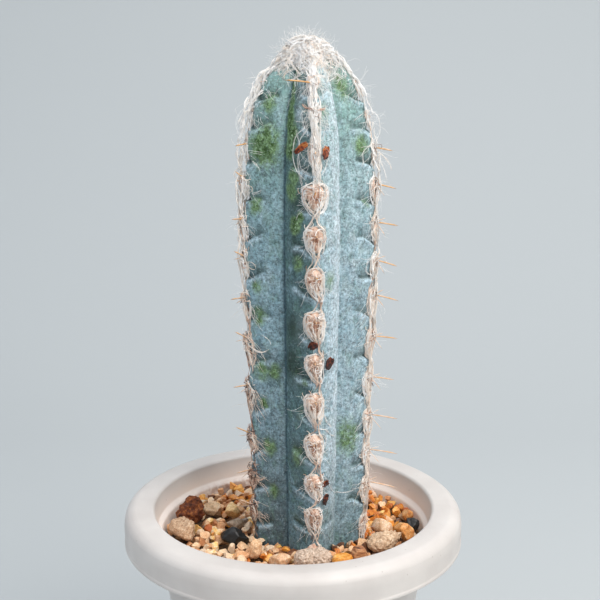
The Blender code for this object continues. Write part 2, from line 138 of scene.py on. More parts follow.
def apply_modifiers(thing):
    make_active(thing)
    for modifier in list(thing.modifiers):
        bpy.ops.object.modifier_apply(modifier=modifier.name)


def join(name, things, material):
    """Join copies into one piece."""
    deselect()
    for thing in things:
        thing.select_set(True)
    bpy.context.view_layer.objects.active = things[0]
    bpy.ops.object.join()
    piece = named(name)
    piece.data.materials.clear()
    piece.data.materials.append(material)
    return piece


def copy_of(thing, matrix):
    """A copy with its own mesh, placed by a matrix."""
    twin = thing.copy()
    twin.data = thing.data.copy()
    twin.data.transform(matrix)
    bpy.context.scene.collection.objects.link(twin)
    return twin


def smooth(thing, degrees=180):
    make_active(thing)
    bpy.ops.object.shade_smooth_by_angle(angle=math.radians(degrees))


def finish_piece(piece, slot, *nodes):
    """Fasten a finished piece to the frame and hide the solids that it replaces."""
    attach(piece, BODY)
    if nodes:
        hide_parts(*nodes)
    piece.data.calc_loop_triangles()
    print(f"{piece.name}: {len(piece.data.loop_triangles)} triangles")


def positions(thing):
    """The mesh's points as an array."""
    mesh = thing.data
    flat = np.empty(len(mesh.vertices) * 3, np.float32)
    mesh.vertices.foreach_get("co", flat)
    return flat.reshape(-1, 3).astype(float)


def move_points(thing, points):
    thing.data.vertices.foreach_set("co", np.asarray(points, np.float32).ravel())
    thing.data.update()


def store(thing, name, values):
    """Keep one number for each point, which a material reads by its name."""
    attribute = thing.data.attributes.new(name, "FLOAT", "POINT")
    attribute.data.foreach_set("value", np.asarray(values, np.float32))


def direction(azimuth, tilt):
    """A unit step away from the plant: its azimuth from the front towards the right, and its tilt up."""
    level = math.cos(tilt)
    return np.array((math.sin(azimuth) * level, -math.cos(azimuth) * level, math.sin(tilt)))


# %% [markdown]
# ## Camera, light and floor
# The photograph looks slightly down at the column from the front, through a short telephoto lens. The
# daylight there is soft and comes from the front right and above. Here a large key panel gives that
# light, a wide one overhead stands in for the open sky, a weak one fills the other side, and a pale floor
# is swept up behind.
# %% Camera
CAMERA_PLACE = Vector((2.9, -500, 334.7)) * MM
CAMERA_PITCH = math.radians(14.33)
CAMERA_FIELD = math.radians(26.2)

camera_data = bpy.data.cameras.new("camera")
camera_data.sensor_width = 36
camera_data.lens = camera_data.sensor_width / 2 / math.tan(CAMERA_FIELD / 2)
camera = bpy.data.objects.new("camera", camera_data)
camera.location = CAMERA_PLACE
camera.rotation_euler = (math.pi / 2 - CAMERA_PITCH, 0, 0)
bpy.context.scene.collection.objects.link(camera)
bpy.context.scene.camera = camera
print(f"lens {camera_data.lens:.1f} mm")

# %% Lights
SUBJECT = Vector((0, 0, 0.18))
# Name: azimuth from the front towards the right, elevation, distance, panel size, power, colour
PANELS = {
    "key": (50, 44, 1.1, 0.9, 12.7, "#FFFBF6"),
    "sky": (-40, 80, 1.2, 1.5, 7.2, "#F8FAFF"),
    "fill": (-60, 25, 1.2, 1.0, 2.2, "#EAF1FF"),
    "back": (160, 50, 1.2, 0.8, 3.0, "#F4F8FF"),
}
for panel_name, (azimuth, elevation, distance, size, power, tint) in PANELS.items():
    way = Vector(direction(math.radians(azimuth), math.radians(elevation)))
    bpy.ops.object.light_add(type="AREA", location=SUBJECT + way * distance)
    panel = bpy.context.object
    panel.name = panel_name
    panel.rotation_mode = "QUATERNION"
    panel.rotation_quaternion = (-way).to_track_quat("-Z", "Y")
    panel.data.size = size
    panel.data.energy = power
    panel.data.color = colour(tint)[:3]

WORLD_STRENGTH = 0.7
world = bpy.data.worlds.new("studio")
bpy.context.scene.world = world
world.use_nodes = True
background = world.node_tree.nodes["Background"]
background.inputs["Color"].default_value = colour("#DDE4EA")
background.inputs["Strength"].default_value = WORLD_STRENGTH
bpy.context.scene.view_settings.view_transform = "Standard"

# %% Floor, swept up behind
# The floor's side, how far behind the pot it turns up and how wide the bend is, in metres
FLOOR_SIZE = 6
SWEEP = 0.9
SWEEP_BEND = 0.5
deselect()
bpy.ops.mesh.primitive_plane_add(size=FLOOR_SIZE)
floor = named("floor")
edit(floor, "DESELECT")
leave_edit()
for edge in floor.data.edges:
    ends = [floor.data.vertices[index] for index in edge.vertices]
    edge.select = all(end.co.y > 0 for end in ends)
make_active(floor)
bpy.ops.object.mode_set(mode="EDIT")
bpy.ops.mesh.select_mode(type="EDGE")
bpy.ops.transform.translate(value=(0, SWEEP - FLOOR_SIZE / 2, 0))
bpy.ops.mesh.extrude_region_move(TRANSFORM_OT_translate={"value": (0, 0, FLOOR_SIZE / 2)})
leave_edit()
bend = floor.modifiers.new("bend", "BEVEL")
bend.width = SWEEP_BEND
bend.segments = 16
apply_modifiers(floor)
smooth(floor)
paper, _, paper_shader = new_material("matt_backdrop_paper", Roughness=0.95)
paper_shader.inputs["Base Color"].default_value = colour("#B4B8B9")
floor.data.materials.append(paper)

# %% [markdown]
# ## The pot
# The pot is one thin moulding of white polypropylene: a tapered cup under a wide rim whose top is gently
# rounded, with a lip inside, a ledge below it and a band hanging down outside. A lathe shape like this
# can be extruded ring by ring, but it is simplest to draw the half section as a chain of points, round
# its corners with a vertex bevel, and spin it.
# %% Sizes of the pot
POT_HEIGHT = 120 * MM
RIM_RADIUS = 70 * MM
RIM_FLAT_RADIUS = 66 * MM
RIM_BAND = 14.4 * MM
RIM_LIP_RADIUS = 57.5 * MM
RIM_SKIN = 2 * MM
LEDGE_RADIUS = 56.3 * MM
LEDGE_DEPTH = 8.7 * MM
NECK_RADIUS = 55.5 * MM
BASE_RADIUS = 41 * MM
WALL = 1.7 * MM
FLOOR = 2.2 * MM
FOOT_HEIGHT = 2.5 * MM
FOOT_INNER_RADIUS = 35 * MM
FOOT_CHAMFER = 1.2 * MM
DRAIN_RADIUS = 4 * MM
DRAIN_CIRCLE = 24 * MM
DRAINS = 6
DRAIN_SIDES = 24
BEAD = 0.5 * MM
BEAD_HEIGHT = 1.3 * MM
POT_STEPS = 160
WELD = 0.005 * MM


def inner_radius(height):
    """Radius of the pot's inner wall below the ledge."""
    return BASE_RADIUS + (NECK_RADIUS - BASE_RADIUS) * height / (POT_HEIGHT - RIM_BAND) - WALL


# %% Draw the half section and spin it
FLOOR_TOP = FOOT_HEIGHT + FLOOR
BAND_FOOT = POT_HEIGHT - RIM_BAND
BAND_INSIDE = RIM_RADIUS - RIM_SKIN
LEDGE = POT_HEIGHT - LEDGE_DEPTH
# Radius, height and the rounding of the corner there
SECTION = (
    (0, FLOOR_TOP, 0),
    (inner_radius(FLOOR_TOP), FLOOR_TOP, FOOT_CHAMFER),
    (inner_radius(LEDGE - WALL), LEDGE - WALL, 0.6 * MM),
    (LEDGE_RADIUS, LEDGE, 0.5 * MM),
    (RIM_LIP_RADIUS, POT_HEIGHT, 1.3 * MM),
    (RIM_FLAT_RADIUS, POT_HEIGHT, 1.2 * MM),
    (RIM_RADIUS - 0.9 * MM, POT_HEIGHT - 2 * MM, 1.6 * MM),
    (RIM_RADIUS, POT_HEIGHT - 5.5 * MM, 2 * MM),
    (RIM_RADIUS - 0.3 * MM, BAND_FOOT + BEAD_HEIGHT + BEAD, 0.3 * MM),
    (RIM_RADIUS, BAND_FOOT + BEAD_HEIGHT, 0.3 * MM),
    (RIM_RADIUS, BAND_FOOT, 0.5 * MM),
    (BAND_INSIDE, BAND_FOOT, 0.5 * MM),
    (BAND_INSIDE, POT_HEIGHT - RIM_SKIN - 1 * MM, 1.5 * MM),
    (LEDGE_RADIUS + WALL + RIM_SKIN, POT_HEIGHT - RIM_SKIN, 1 * MM),
    (NECK_RADIUS + WALL, LEDGE - WALL, 0.6 * MM),
    (NECK_RADIUS, BAND_FOOT, 0.6 * MM),
    (BASE_RADIUS, 0, FOOT_CHAMFER),
    (FOOT_INNER_RADIUS, 0, 0.5 * MM),
    (FOOT_INNER_RADIUS - FOOT_CHAMFER, FOOT_HEIGHT, 0.5 * MM),
    (0, FOOT_HEIGHT, 0),
)
deselect()
bpy.ops.mesh.primitive_plane_add(size=WALL)
pot = named("pot_shell")
edit(pot)
bpy.ops.mesh.select_mode(type="VERT")
bpy.ops.mesh.merge(type="CENTER")
bpy.ops.transform.translate(value=(SECTION[0][0], 0, SECTION[0][1]))
for (radius, height, _), (next_radius, next_height, _) in zip(SECTION, SECTION[1:]):
    step = (next_radius - radius, 0, next_height - height)
    bpy.ops.mesh.extrude_region_move(TRANSFORM_OT_translate={"value": step})
for radius, height, rounding in SECTION:
    if rounding:
        bpy.ops.mesh.select_all(action="DESELECT")
        leave_edit()
        for vert in pot.data.vertices:
            vert.select = math.hypot(vert.co.x - radius, vert.co.z - height) < WELD
        bpy.ops.object.mode_set(mode="EDIT")
        bpy.ops.mesh.bevel(offset=rounding, segments=4, affect="VERTICES")
bpy.ops.mesh.select_all(action="SELECT")
bpy.ops.mesh.spin(steps=POT_STEPS, angle=2 * math.pi, center=(0, 0, 0), axis=(0, 0, 1))
bpy.ops.mesh.select_all(action="SELECT")
bpy.ops.mesh.remove_doubles(threshold=WELD)
bpy.ops.mesh.normals_make_consistent(inside=False)
leave_edit()

# %% Drill the drain holes
drills = []
for index in range(DRAINS):
    turn = 2 * math.pi * index / DRAINS
    place = (DRAIN_CIRCLE * math.cos(turn), DRAIN_CIRCLE * math.sin(turn), FLOOR_TOP / 2)
    deselect()
    bpy.ops.mesh.primitive_cylinder_add(vertices=DRAIN_SIDES, radius=DRAIN_RADIUS, depth=3 * FLOOR_TOP,
                                        location=place)
    drill = named(f"drill_{index}")
    apply_place(drill)
    drills.append(drill)
drill_set = join("drill_set", drills, None)
holes = pot.modifiers.new("holes", "BOOLEAN")
holes.object = drill_set
apply_modifiers(pot)
bpy.data.objects.remove(drill_set, do_unlink=True)
smooth(pot, 40)

# %% [markdown]
# Polypropylene straight from the mould is a warm white with a soft, even sheen. A fine moulded grain and
# faint specks of dust break the highlights. The wall inside the rim is painted whiter, as painted light that
# lifts the shade inside the pot, and water has left a brown tide line on it at the back, beside the column.
# %% Polypropylene
white_plastic, tree, shader = new_material(
    "moulded_polypropylene", Roughness=0.42, Specular_IOR_Level=0.4, Subsurface_Weight=0.05,
    Subsurface_Radius=(1.2 * MM, 1.0 * MM, 0.9 * MM), Subsurface_Scale=1.0)
place = add(tree, "ShaderNodeTexCoord").outputs["Object"]
cloud = add(tree, "ShaderNodeTexNoise", {"Vector": place, "Scale": 1 / (22 * MM), "Detail": 3.0})
moulded_white = add(tree, "ShaderNodeValToRGB", {"Fac": cloud.outputs["Fac"]},
              [(0.35, "#C6BFBA"), (0.65, "#D1CBC6")])
# Painted light: the inside of the pot is mixed towards a lighter white
lit_inside = add(tree, "ShaderNodeAttribute", attribute_name="painted_light_inside")
base = add(tree, "ShaderNodeMix",
           {0: lit_inside.outputs["Fac"], 6: moulded_white.outputs["Color"], 7: colour("#F6EAE1")}, data_type="RGBA")
specks = add(tree, "ShaderNodeTexVoronoi", {"Vector": place, "Scale": 1 / (3.4 * MM)})
dot = add(tree, "ShaderNodeMapRange",
          {"Value": specks.outputs["Distance"], 1: 0.05, 2: 0.11, 3: 0.5, 4: 0.0})
rare = add(tree, "ShaderNodeSeparateColor", {"Color": specks.outputs["Color"]})
chosen = add(tree, "ShaderNodeMath", {0: rare.outputs["Red"], 1: 0.72}, operation="GREATER_THAN")
speck = add(tree, "ShaderNodeMath", {0: dot.outputs["Result"], 1: chosen.outputs[0]}, operation="MULTIPLY")
dusty = add(tree, "ShaderNodeMix", {0: speck.outputs[0], 6: base.outputs[2], 7: colour("#9E9187")},
            data_type="RGBA")
stain = add(tree, "ShaderNodeAttribute", attribute_name="stain")
patches = add(tree, "ShaderNodeTexNoise", {"Vector": place, "Scale": 1 / (2.5 * MM), "Detail": 5.0})
edge_noise = add(tree, "ShaderNodeMapRange",
                 {"Value": patches.outputs["Fac"], 1: 0.36, 2: 0.56, 3: 0.0, 4: 1.0})
stained = add(tree, "ShaderNodeMath", {0: stain.outputs["Fac"], 1: edge_noise.outputs["Result"]},
              operation="MULTIPLY")
aged = add(tree, "ShaderNodeMix", {0: stained.outputs[0], 6: dusty.outputs[2], 7: colour("#9A5E2C")},
           data_type="RGBA")
tree.links.new(aged.outputs[2], shader.inputs["Base Color"])
grain = add(tree, "ShaderNodeTexNoise", {"Vector": place, "Scale": 1 / (0.9 * MM), "Detail": 2.0})
bump = add(tree, "ShaderNodeBump", {"Height": grain.outputs["Fac"], "Strength": 0.25, "Distance": 0.12 * MM})
tree.links.new(bump.outputs["Normal"], shader.inputs["Normal"])

# %% Tide line on the inner wall
# Where the stain lies, as an angle from the pot's right round to the back and a height, and its spread
STAIN_TURN = math.radians(118)
STAIN_SPREAD = math.radians(24)
STAIN_HEIGHT = POT_HEIGHT - 12.6 * MM
STAIN_TALL = 2.2 * MM
points = positions(pot)
away = np.hypot(points[:, 0], points[:, 1])
turns = np.arctan2(points[:, 1], points[:, 0])
round_wall = (turns - STAIN_TURN) / STAIN_SPREAD
patch = np.exp(-round_wall ** 2 - ((points[:, 2] - STAIN_HEIGHT) / STAIN_TALL) ** 2)
above_ledge = points[:, 2] > LEDGE - WALL - BEAD
inside = away < np.where(above_ledge, LEDGE_RADIUS, inner_radius(points[:, 2])) + WALL / 2
store(pot, "stain", np.where(inside, patch, 0))
# The inside of the pot is marked for its painted light
store(pot, "painted_light_inside", inside & (points[:, 2] < POT_HEIGHT - WALL))
pot.data.materials.append(white_plastic)
finish_piece(pot, "white_plastic", "pot")

# %% [markdown]
# ## Potting mix
# The mix fills the pot under the gravel and is seen only through the drain holes, so its solid stays and
# gets a dark crumbly finish.
# %% Potting mix
mix, tree, shader = new_material("peat_and_grit", Roughness=0.95)
place = add(tree, "ShaderNodeTexCoord").outputs["Object"]
crumbs = add(tree, "ShaderNodeTexVoronoi", {"Vector": place, "Scale": 1 / (1.6 * MM)})
earth = add(tree, "ShaderNodeValToRGB", {"Fac": crumbs.outputs["Distance"]},
            [(0.0, "#4A382A"), (0.5, "#2A1F17"), (0.9, "#130E0A")])
tree.links.new(earth.outputs["Color"], shader.inputs["Base Color"])
bump = add(tree, "ShaderNodeBump",
           {"Height": crumbs.outputs["Distance"], "Strength": 0.8, "Distance": 0.4 * MM})
tree.links.new(bump.outputs["Normal"], shader.inputs["Normal"])
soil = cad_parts["soil"]
soil.data.materials.clear()
soil.data.materials.append(mix)

# %% [markdown]
# ## Where the column stands
# The skin, the wool and the spines all lie on the same ribbed column, so its shape is worked out once:
# the radius of a rib's crest at each height, and how the flat faces run from the crest down into the
# groove. Places on it are given as an azimuth, a height and a lift off the skin.
# %% Shape of the column
STEM_X = 6.5 * MM
STEM_Y = -1 * MM
STEM_TOP = POT_HEIGHT + 187.5 * MM
STEM_FOOT = POT_HEIGHT - 42 * MM
STEM_RADIUS = 26 * MM
BELLY_HEIGHT = POT_HEIGHT + 85 * MM
# How much the barrel narrows above and below its belly, and over what height
TAPER_ABOVE = (0.05, 62 * MM)
TAPER_BELOW = (0.07, 95 * MM)
# How much slimmer it is low down, where that starts and over what height it comes in
SLIMMING = (0.065, POT_HEIGHT + 125 * MM, 80 * MM)
DOME_LENGTH = 44 * MM
FOOT_LENGTH = 14 * MM
RIBS = 5
RIB_ANGLE = 2 * math.pi / RIBS
HALF_RIB = RIB_ANGLE / 2
FRONT_RIB = math.radians(4.5)
GROOVE_SHARE = 0.71
FACE_BULGE = 1.5 * MM
CREST_ROUNDING = math.radians(3)
RIB_NAMES = ("front", "right", "back_right", "back_left", "left")
# Heights of the areoles above the rim, from the crown down each rib
AREOLES = np.array((
    (174, 164, 150, 135, 119, 103, 86, 69, 53, 36, 19, 5, -11),
    (172, 161, 149, 135, 120, 105, 91, 74, 57, 41, 26, 12, -5),
    (171, 160, 146, 131, 116, 100, 84, 68, 52, 36, 21, 6, -9),
    (173, 162, 149, 134, 119, 103, 88, 71, 55, 39, 23, 8, -7),
    (172, 163, 151, 137, 122, 107, 91, 74, 55, 34, 19, 3, -12),
)) * MM + POT_HEIGHT
SLOPE_STEP = 0.4 * MM


def crest_radius(height):
    """Radius of a rib's crest: a slim barrel with an egg-shaped top and a round foot."""
    above = 1 - TAPER_ABOVE[0] * ((height - BELLY_HEIGHT) / TAPER_ABOVE[1]) ** 2
    below = 1 - TAPER_BELOW[0] * ((height - BELLY_HEIGHT) / TAPER_BELOW[1]) ** 2
    dome = np.clip(1 - (STEM_TOP - height) / DOME_LENGTH, 0, 1)
    foot = np.clip(1 - (height - STEM_FOOT) / FOOT_LENGTH, 0, 1)
    slimmed = np.clip((SLIMMING[1] - height) / SLIMMING[2], 0, 1)
    slim = 1 - SLIMMING[0] * slimmed ** 2 * (3 - 2 * slimmed)
    swell = np.where(height > BELLY_HEIGHT, above, below) * slim
    return STEM_RADIUS * swell * np.sqrt(1 - dome ** 2) * np.sqrt(1 - foot ** 2)


def from_crest(azimuth):
    """Signed angle from the nearest rib's crest, positive towards the viewer's right."""
    return (azimuth - FRONT_RIB + HALF_RIB) % RIB_ANGLE - HALF_RIB


def skin_radius(azimuth, height):
    """Radius of the ribbed skin before its creases."""
    turn = np.hypot(from_crest(azimuth), CREST_ROUNDING) - CREST_ROUNDING
    turn = turn * HALF_RIB / (math.hypot(HALF_RIB, CREST_ROUNDING) - CREST_ROUNDING)
    crest = crest_radius(height) + 1e-9
    groove = crest * GROOVE_SHARE
    flat = crest * groove * math.sin(HALF_RIB) / (groove * np.sin(HALF_RIB - turn) + crest * np.sin(turn))
    return flat + FACE_BULGE * crest / STEM_RADIUS * np.sin(math.pi * turn / HALF_RIB)


def on_column(azimuth, height, lift=0.0):
    """Points on the column, or lifted square off its skin, as rows of x, y and z."""
    height = np.minimum(height, STEM_TOP)
    slope = (crest_radius(height) - crest_radius(height - SLOPE_STEP)) / SLOPE_STEP
    steep = np.sqrt(1 + slope ** 2)
    radius = skin_radius(azimuth, height) + lift / steep
    level = height - lift * slope / steep
    return np.stack((STEM_X + np.sin(azimuth) * radius, STEM_Y - np.cos(azimuth) * radius, level), axis=-1)


# %% [markdown]
# ## The gravel
# The top dressing is a mix of washed pebbles, three to seven millimetres across, over a layer of grit. The
# bed is a disc with rough grit on it and a hole that follows the column. The pebbles are modelled once as
# a few broken and rounded lumps, and copies are dropped one by one onto what already lies there, so that
# they rest on the bed, on each other and against the wall, and leave dark gaps as real gravel does.
# %% The bed
FIT_GAP = 0.3 * MM
SOIL_TOP = POT_HEIGHT - 17 * MM
BED_TOP = POT_HEIGHT - 14.2 * MM
GRIT_TEXTURE = 1.8 * MM
GRIT_DEPTH = 1.1 * MM
GRIT_CELL = 1.7 * MM
BED_INSETS = 24
INSET = 2 * MM
HOLE_RINGS = 60
HOLE_SPOKES = 60
HOLE_REACH = 8 * MM
HOLE_LIFT = 0.4 * MM


def lay_on_column(name, spokes, heights, lift):
    """A sphere primitive laid on the smooth column, between two heights."""
    deselect()
    bpy.ops.mesh.primitive_uv_sphere_add(segments=spokes, ring_count=len(heights) - 1, radius=1)
    thing = named(name)
    unit = positions(thing)
    level = np.rint(np.arccos(np.clip(unit[:, 2], -1, 1)) / math.pi * (len(heights) - 1)).astype(int)
    azimuth = FRONT_RIB + np.arctan2(unit[:, 1], unit[:, 0])
    points = on_column(azimuth, np.array(heights)[level], lift)
    points[level == 0] = (STEM_X, STEM_Y, heights[0])
    points[level == len(heights) - 1] = (STEM_X, STEM_Y, heights[-1])
    move_points(thing, points)
    return thing


bed_depth = BED_TOP - SOIL_TOP - FIT_GAP
deselect()
bpy.ops.mesh.primitive_cylinder_add(vertices=96, radius=inner_radius(SOIL_TOP) - FIT_GAP, depth=bed_depth,
                                    location=(0, 0, BED_TOP - bed_depth / 2))
bed = named("gravel_bed")
apply_place(bed)
edit(bed, "DESELECT")
leave_edit()
for face in bed.data.polygons:
    face.select = face.normal.z > 0.9
make_active(bed)
bpy.ops.object.mode_set(mode="EDIT")
bpy.ops.mesh.select_mode(type="FACE")
for _ in range(BED_INSETS):
    bpy.ops.mesh.inset(thickness=INSET)
leave_edit()
grit = bpy.data.textures.new("grit", "VORONOI")
grit.noise_scale = GRIT_TEXTURE
rough = bed.modifiers.new("grit", "DISPLACE")
rough.texture = grit
rough.direction = "Z"
rough.strength = GRIT_DEPTH
rough.mid_level = 1.0
hole_heights = np.linspace(SOIL_TOP + HOLE_REACH, SOIL_TOP - HOLE_REACH, HOLE_RINGS)
plug = lay_on_column("stem_plug", HOLE_SPOKES, hole_heights, HOLE_LIFT)
opening = bed.modifiers.new("opening", "BOOLEAN")
opening.object = plug
apply_modifiers(bed)
bpy.data.objects.remove(plug, do_unlink=True)
grit_finish, tree, shader = new_material("wet_grit", Roughness=0.9)
place = add(tree, "ShaderNodeTexCoord").outputs["Object"]
cells = add(tree, "ShaderNodeTexVoronoi", {"Vector": place, "Scale": 1 / GRIT_CELL})
pick = add(tree, "ShaderNodeSeparateColor", {"Color": cells.outputs["Color"]})
grains = add(tree, "ShaderNodeValToRGB", {"Fac": pick.outputs["Red"]},
             [(0.0, "#2B1D14"), (0.4, "#4A3422"), (0.75, "#7A5836"), (1.0, "#A67D52")])
tree.links.new(grains.outputs["Color"], shader.inputs["Base Color"])
bed.data.materials.append(grit_finish)
finish_piece(bed, "mixed_gravel", "gravel")

# %% [markdown]
# ## Larger stones
# Sixteen stones of thirteen kinds of rock stand out of the gravel. Each starts as a rough ball, loses slices
# to flat breaks, and is remeshed and weathered by noise of its rock's grain, so that quartz stays sharp
# and pumice turns lumpy.
# %% Stone finishes
# Name: three tones from dark to light, grain size in mm, roughness, light let through, layers, relief in mm
ROCKS = {
    "red_brown_lava": (("#270F07", "#693317", "#A9662F"), 1.7, 0.85, 0.0, False, 1.5),
    "speckled_tuff": (("#8F6B50", "#BF9B7B", "#DFC6A8"), 0.9, 0.9, 0.0, False, 0.6),
    "cream_limestone": (("#B08A66", "#D8B691", "#ECD4B7"), 1.8, 0.85, 0.02, False, 0.3),
    "yellow_calcite": (("#B8874A", "#DDB37A", "#EFD3A6"), 2.4, 0.55, 0.12, False, 0.25),
    "brown_grey_chert": (("#6F5C4C", "#9D8772", "#C0AB96"), 1.5, 0.7, 0.06, False, 0.35),
    "black_basalt": (("#030303", "#0B0B0B", "#232120"), 1.2, 0.42, 0.0, False, 0.25),
    "orange_grained_sandstone": (("#B07F56", "#D9AF87", "#ECCFAC"), 0.8, 0.9, 0.0, False, 0.5),
    "pink_vein_quartz": (("#B98A66", "#DDB58E", "#F4E2CC"), 2.2, 0.5, 0.15, False, 0.3),
    "pale_pumice": (("#86705E", "#C4AC98", "#E2D2C2"), 0.9, 0.95, 0.0, False, 0.9),
    "amber_quartz": (("#C26F1C", "#E39A3A", "#F4C680"), 3.0, 0.38, 0.2, False, 0.1),
    "banded_jasper": (("#4A281A", "#A56C44", "#D9A87A"), 0.8, 0.6, 0.0, True, 0.3),
    "crumbly_limestone": (("#96745A", "#C9AA8B", "#E6D0B6"), 1.2, 0.9, 0.0, False, 0.9),
    "orange_carnelian": (("#A65F2A", "#DB9650", "#F1C792"), 1.8, 0.5, 0.1, False, 0.3),
}


def rock_finish(name):
    """A stone's material: mottled tones, fine specks and, where it is layered, bands."""
    tones, grain, roughness, through, layered, _ = ROCKS[name]
    material, tree, shader = new_material(
        name, Roughness=roughness, Subsurface_Weight=through,
        Subsurface_Radius=(1.5 * MM, 0.9 * MM, 0.5 * MM), Subsurface_Scale=1.0)
    place = add(tree, "ShaderNodeTexCoord").outputs["Object"]
    blotch = add(tree, "ShaderNodeTexNoise",
                 {"Vector": place, "Scale": 1 / (grain * MM), "Detail": 5.0, "Roughness": 0.65})
    pattern = blotch.outputs["Fac"]
    if layered:
        turned = add(tree, "ShaderNodeMapping",
                     {"Vector": place, "Rotation": (0.5, 0.6, 0), "Scale": (0.2, 0.3, 1)})
        strata = add(tree, "ShaderNodeTexNoise",
                     {"Vector": turned.outputs["Vector"], "Scale": 1 / (grain * MM), "Detail": 3.0})
        pattern = strata.outputs["Fac"]
    ramp = add(tree, "ShaderNodeValToRGB", {"Fac": pattern}, list(zip((0.3, 0.5, 0.72), tones)))
    dots = add(tree, "ShaderNodeTexNoise", {"Vector": place, "Scale": 1 / (0.5 * MM), "Detail": 1.0})
    shade = add(tree, "ShaderNodeMapRange", {"Value": dots.outputs["Fac"], 1: 0.3, 2: 0.7, 3: 0.8, 4: 1.18})
    grained = add(tree, "ShaderNodeMix", {0: 1.0, 6: ramp.outputs["Color"], 7: shade.outputs["Result"]},
                  data_type="RGBA", blend_type="MULTIPLY")
    tree.links.new(grained.outputs[2], shader.inputs["Base Color"])
    bump = add(tree, "ShaderNodeBump",
               {"Height": dots.outputs["Fac"], "Strength": 0.4, "Distance": 0.15 * MM})
    tree.links.new(bump.outputs["Normal"], shader.inputs["Normal"])
    return material


# %% Break and weather each stone
def break_off(way, depth):
    """Slice one flat break off the mesh that is being edited."""
    bpy.ops.mesh.select_all(action="SELECT")
    bpy.ops.mesh.bisect(plane_co=way * depth, plane_no=way, use_fill=True, clear_outer=True)


# Node: place from the pot's axis, size, turn in degrees, flat breaks, how peaked, rock, record slot
STONES = {
    "stone_lava_brown": ((-44.6, 12), (12, 11.5, 12), 20, 5, 0.1, "red_brown_lava", "lava_stone"),
    "stone_tan_flat": ((-46, -5.4), (16.2, 9.4, 8), -55, 13, 0.1, "speckled_tuff", "tan_stone"),
    "stone_beige": ((-35, 16.6), (8, 6.5, 6.5), 10, 9, 0, "cream_limestone", "beige_stone"),
    "stone_pale_yellow": ((-26.5, 13), (7, 6.6, 7.6), 35, 9, 0.2, "yellow_calcite", "yellow_stone"),
    "stone_grey_flat": ((-24.4, 1.4), (8, 6.2, 5.6), 25, 6, 0, "brown_grey_chert", "grey_stone"),
    "stone_charcoal": ((-24.5, -14.3), (12.6, 9.4, 9), -20, 9, 0.8, "black_basalt", "charcoal_stone"),
    "stone_tan_cube": ((-15.6, -24.6), (7.4, 7, 8.4), 12, 9, 0.15, "orange_grained_sandstone", "tan_stone"),
    "stone_pink_pebble": ((-5, -34.4), (9.4, 7, 6.6), 0, 7, 0, "pink_vein_quartz", "pink_stone"),
    "stone_pumice_pair": ((8, -34.6), (15.4, 9, 9.6), 4, 0, 0, "pale_pumice", "pumice_stone"),
    "stone_amber": ((19.6, -36), (8.4, 6.2, 6.6), 8, 1, 0, "amber_quartz", "orange_stone"),
    "stone_layered": ((26.4, -29.6), (8.6, 7, 7.4), 30, 9, 0, "banded_jasper", "layered_stone"),
    "stone_beige_long": ((37.5, -18.3), (16, 9.5, 9), 30, 6, 0, "crumbly_limestone", "beige_stone"),
    "stone_pink_quartz": ((37, -2), (9, 7, 7.5), -10, 10, 0.2, "pink_vein_quartz", "pink_stone"),
    "stone_orange_angular": ((45.9, -8.6), (8.2, 7.4, 8.4), 20, 8, 0.1, "orange_carnelian", "orange_stone"),
    "stone_black_small": ((49.8, 0.8), (6, 6, 6), 40, 9, 0, "black_basalt", "charcoal_stone"),
    "stone_orange_wall": ((48.8, 10), (4.6, 8, 6), 14, 6, 0, "orange_carnelian", "orange_stone"),
}

GRAVEL_TOP = POT_HEIGHT - 12.5 * MM
STONE_STAND = 0.33
STONE_SEED = 300
VOXEL = 0.36 * MM
# How far the two lumps of pumice are drawn in between them, in height and across
WAIST = (0.22, 0.3)
# How far from the middle of a ball its breaks are
BREAK_DEPTH = (0.24, 0.42)
# Each layer's size in grains of the rock, and its depth in that rock's relief
WEATHERING = {"lumps": (2.5, 1.6), "pits": (1.0, 1.2)}
rock_materials = {name: rock_finish(name) for name in ROCKS}
for number, (node, (place, size, degrees, breaks, peak, rock, slot)) in enumerate(STONES.items()):
    rng = random.Random(STONE_SEED + number)
    deselect()
    bpy.ops.mesh.primitive_ico_sphere_add(subdivisions=3, radius=0.5)
    stone = named(node.replace("stone_", "weathered_"))
    edit(stone)
    bpy.ops.transform.vertex_random(offset=0.012, uniform=1.0, seed=number)
    for _ in range(breaks):
        way = Vector((rng.gauss(0, 1), rng.gauss(0, 1), rng.gauss(0.25, 0.8))).normalized()
        break_off(way, rng.uniform(*BREAK_DEPTH))
    leave_edit()
    points = positions(stone)
    low, high = points.min(axis=0), points.max(axis=0)
    points = (points - (low + high) / 2) / (high - low)
    if "pair" in node:
        pinch = 1 - np.abs(np.sin(math.pi * points[:, 0]))
        points[:, 2] *= 1 - WAIST[0] * pinch
        points[:, 1] *= 1 - WAIST[1] * pinch
    points[:, :2] *= 1 - peak * (points[:, 2:] + 0.5)
    points[:, :2] /= points[:, :2].max(axis=0) - points[:, :2].min(axis=0)
    move_points(stone, points)
    stone.scale = Vector(size) * MM
    stone.rotation_euler = (0, 0, math.radians(degrees))
    stone.location = (place[0] * MM, place[1] * MM, GRAVEL_TOP + FIT_GAP + size[2] * MM * STONE_STAND)
    apply_place(stone)
    shell = stone.modifiers.new("shell", "REMESH")
    shell.mode = "VOXEL"
    shell.voxel_size = VOXEL
    worn = stone.modifiers.new("worn", "SMOOTH")
    worn.iterations = 2
    grain, relief = ROCKS[rock][1], ROCKS[rock][5]
    for layer, (size_share, depth_share) in WEATHERING.items():
        weather = bpy.data.textures.new(f"{node}_{layer}", "CLOUDS")
        weather.noise_scale = grain * MM * size_share
        carve = stone.modifiers.new(layer, "DISPLACE")
        carve.texture = weather
        carve.texture_coords = "LOCAL"
        carve.strength = relief * MM * depth_share
    apply_modifiers(stone)
    smooth(stone, 40)
    stone.data.materials.append(rock_materials[rock])
    finish_piece(stone, slot, node)

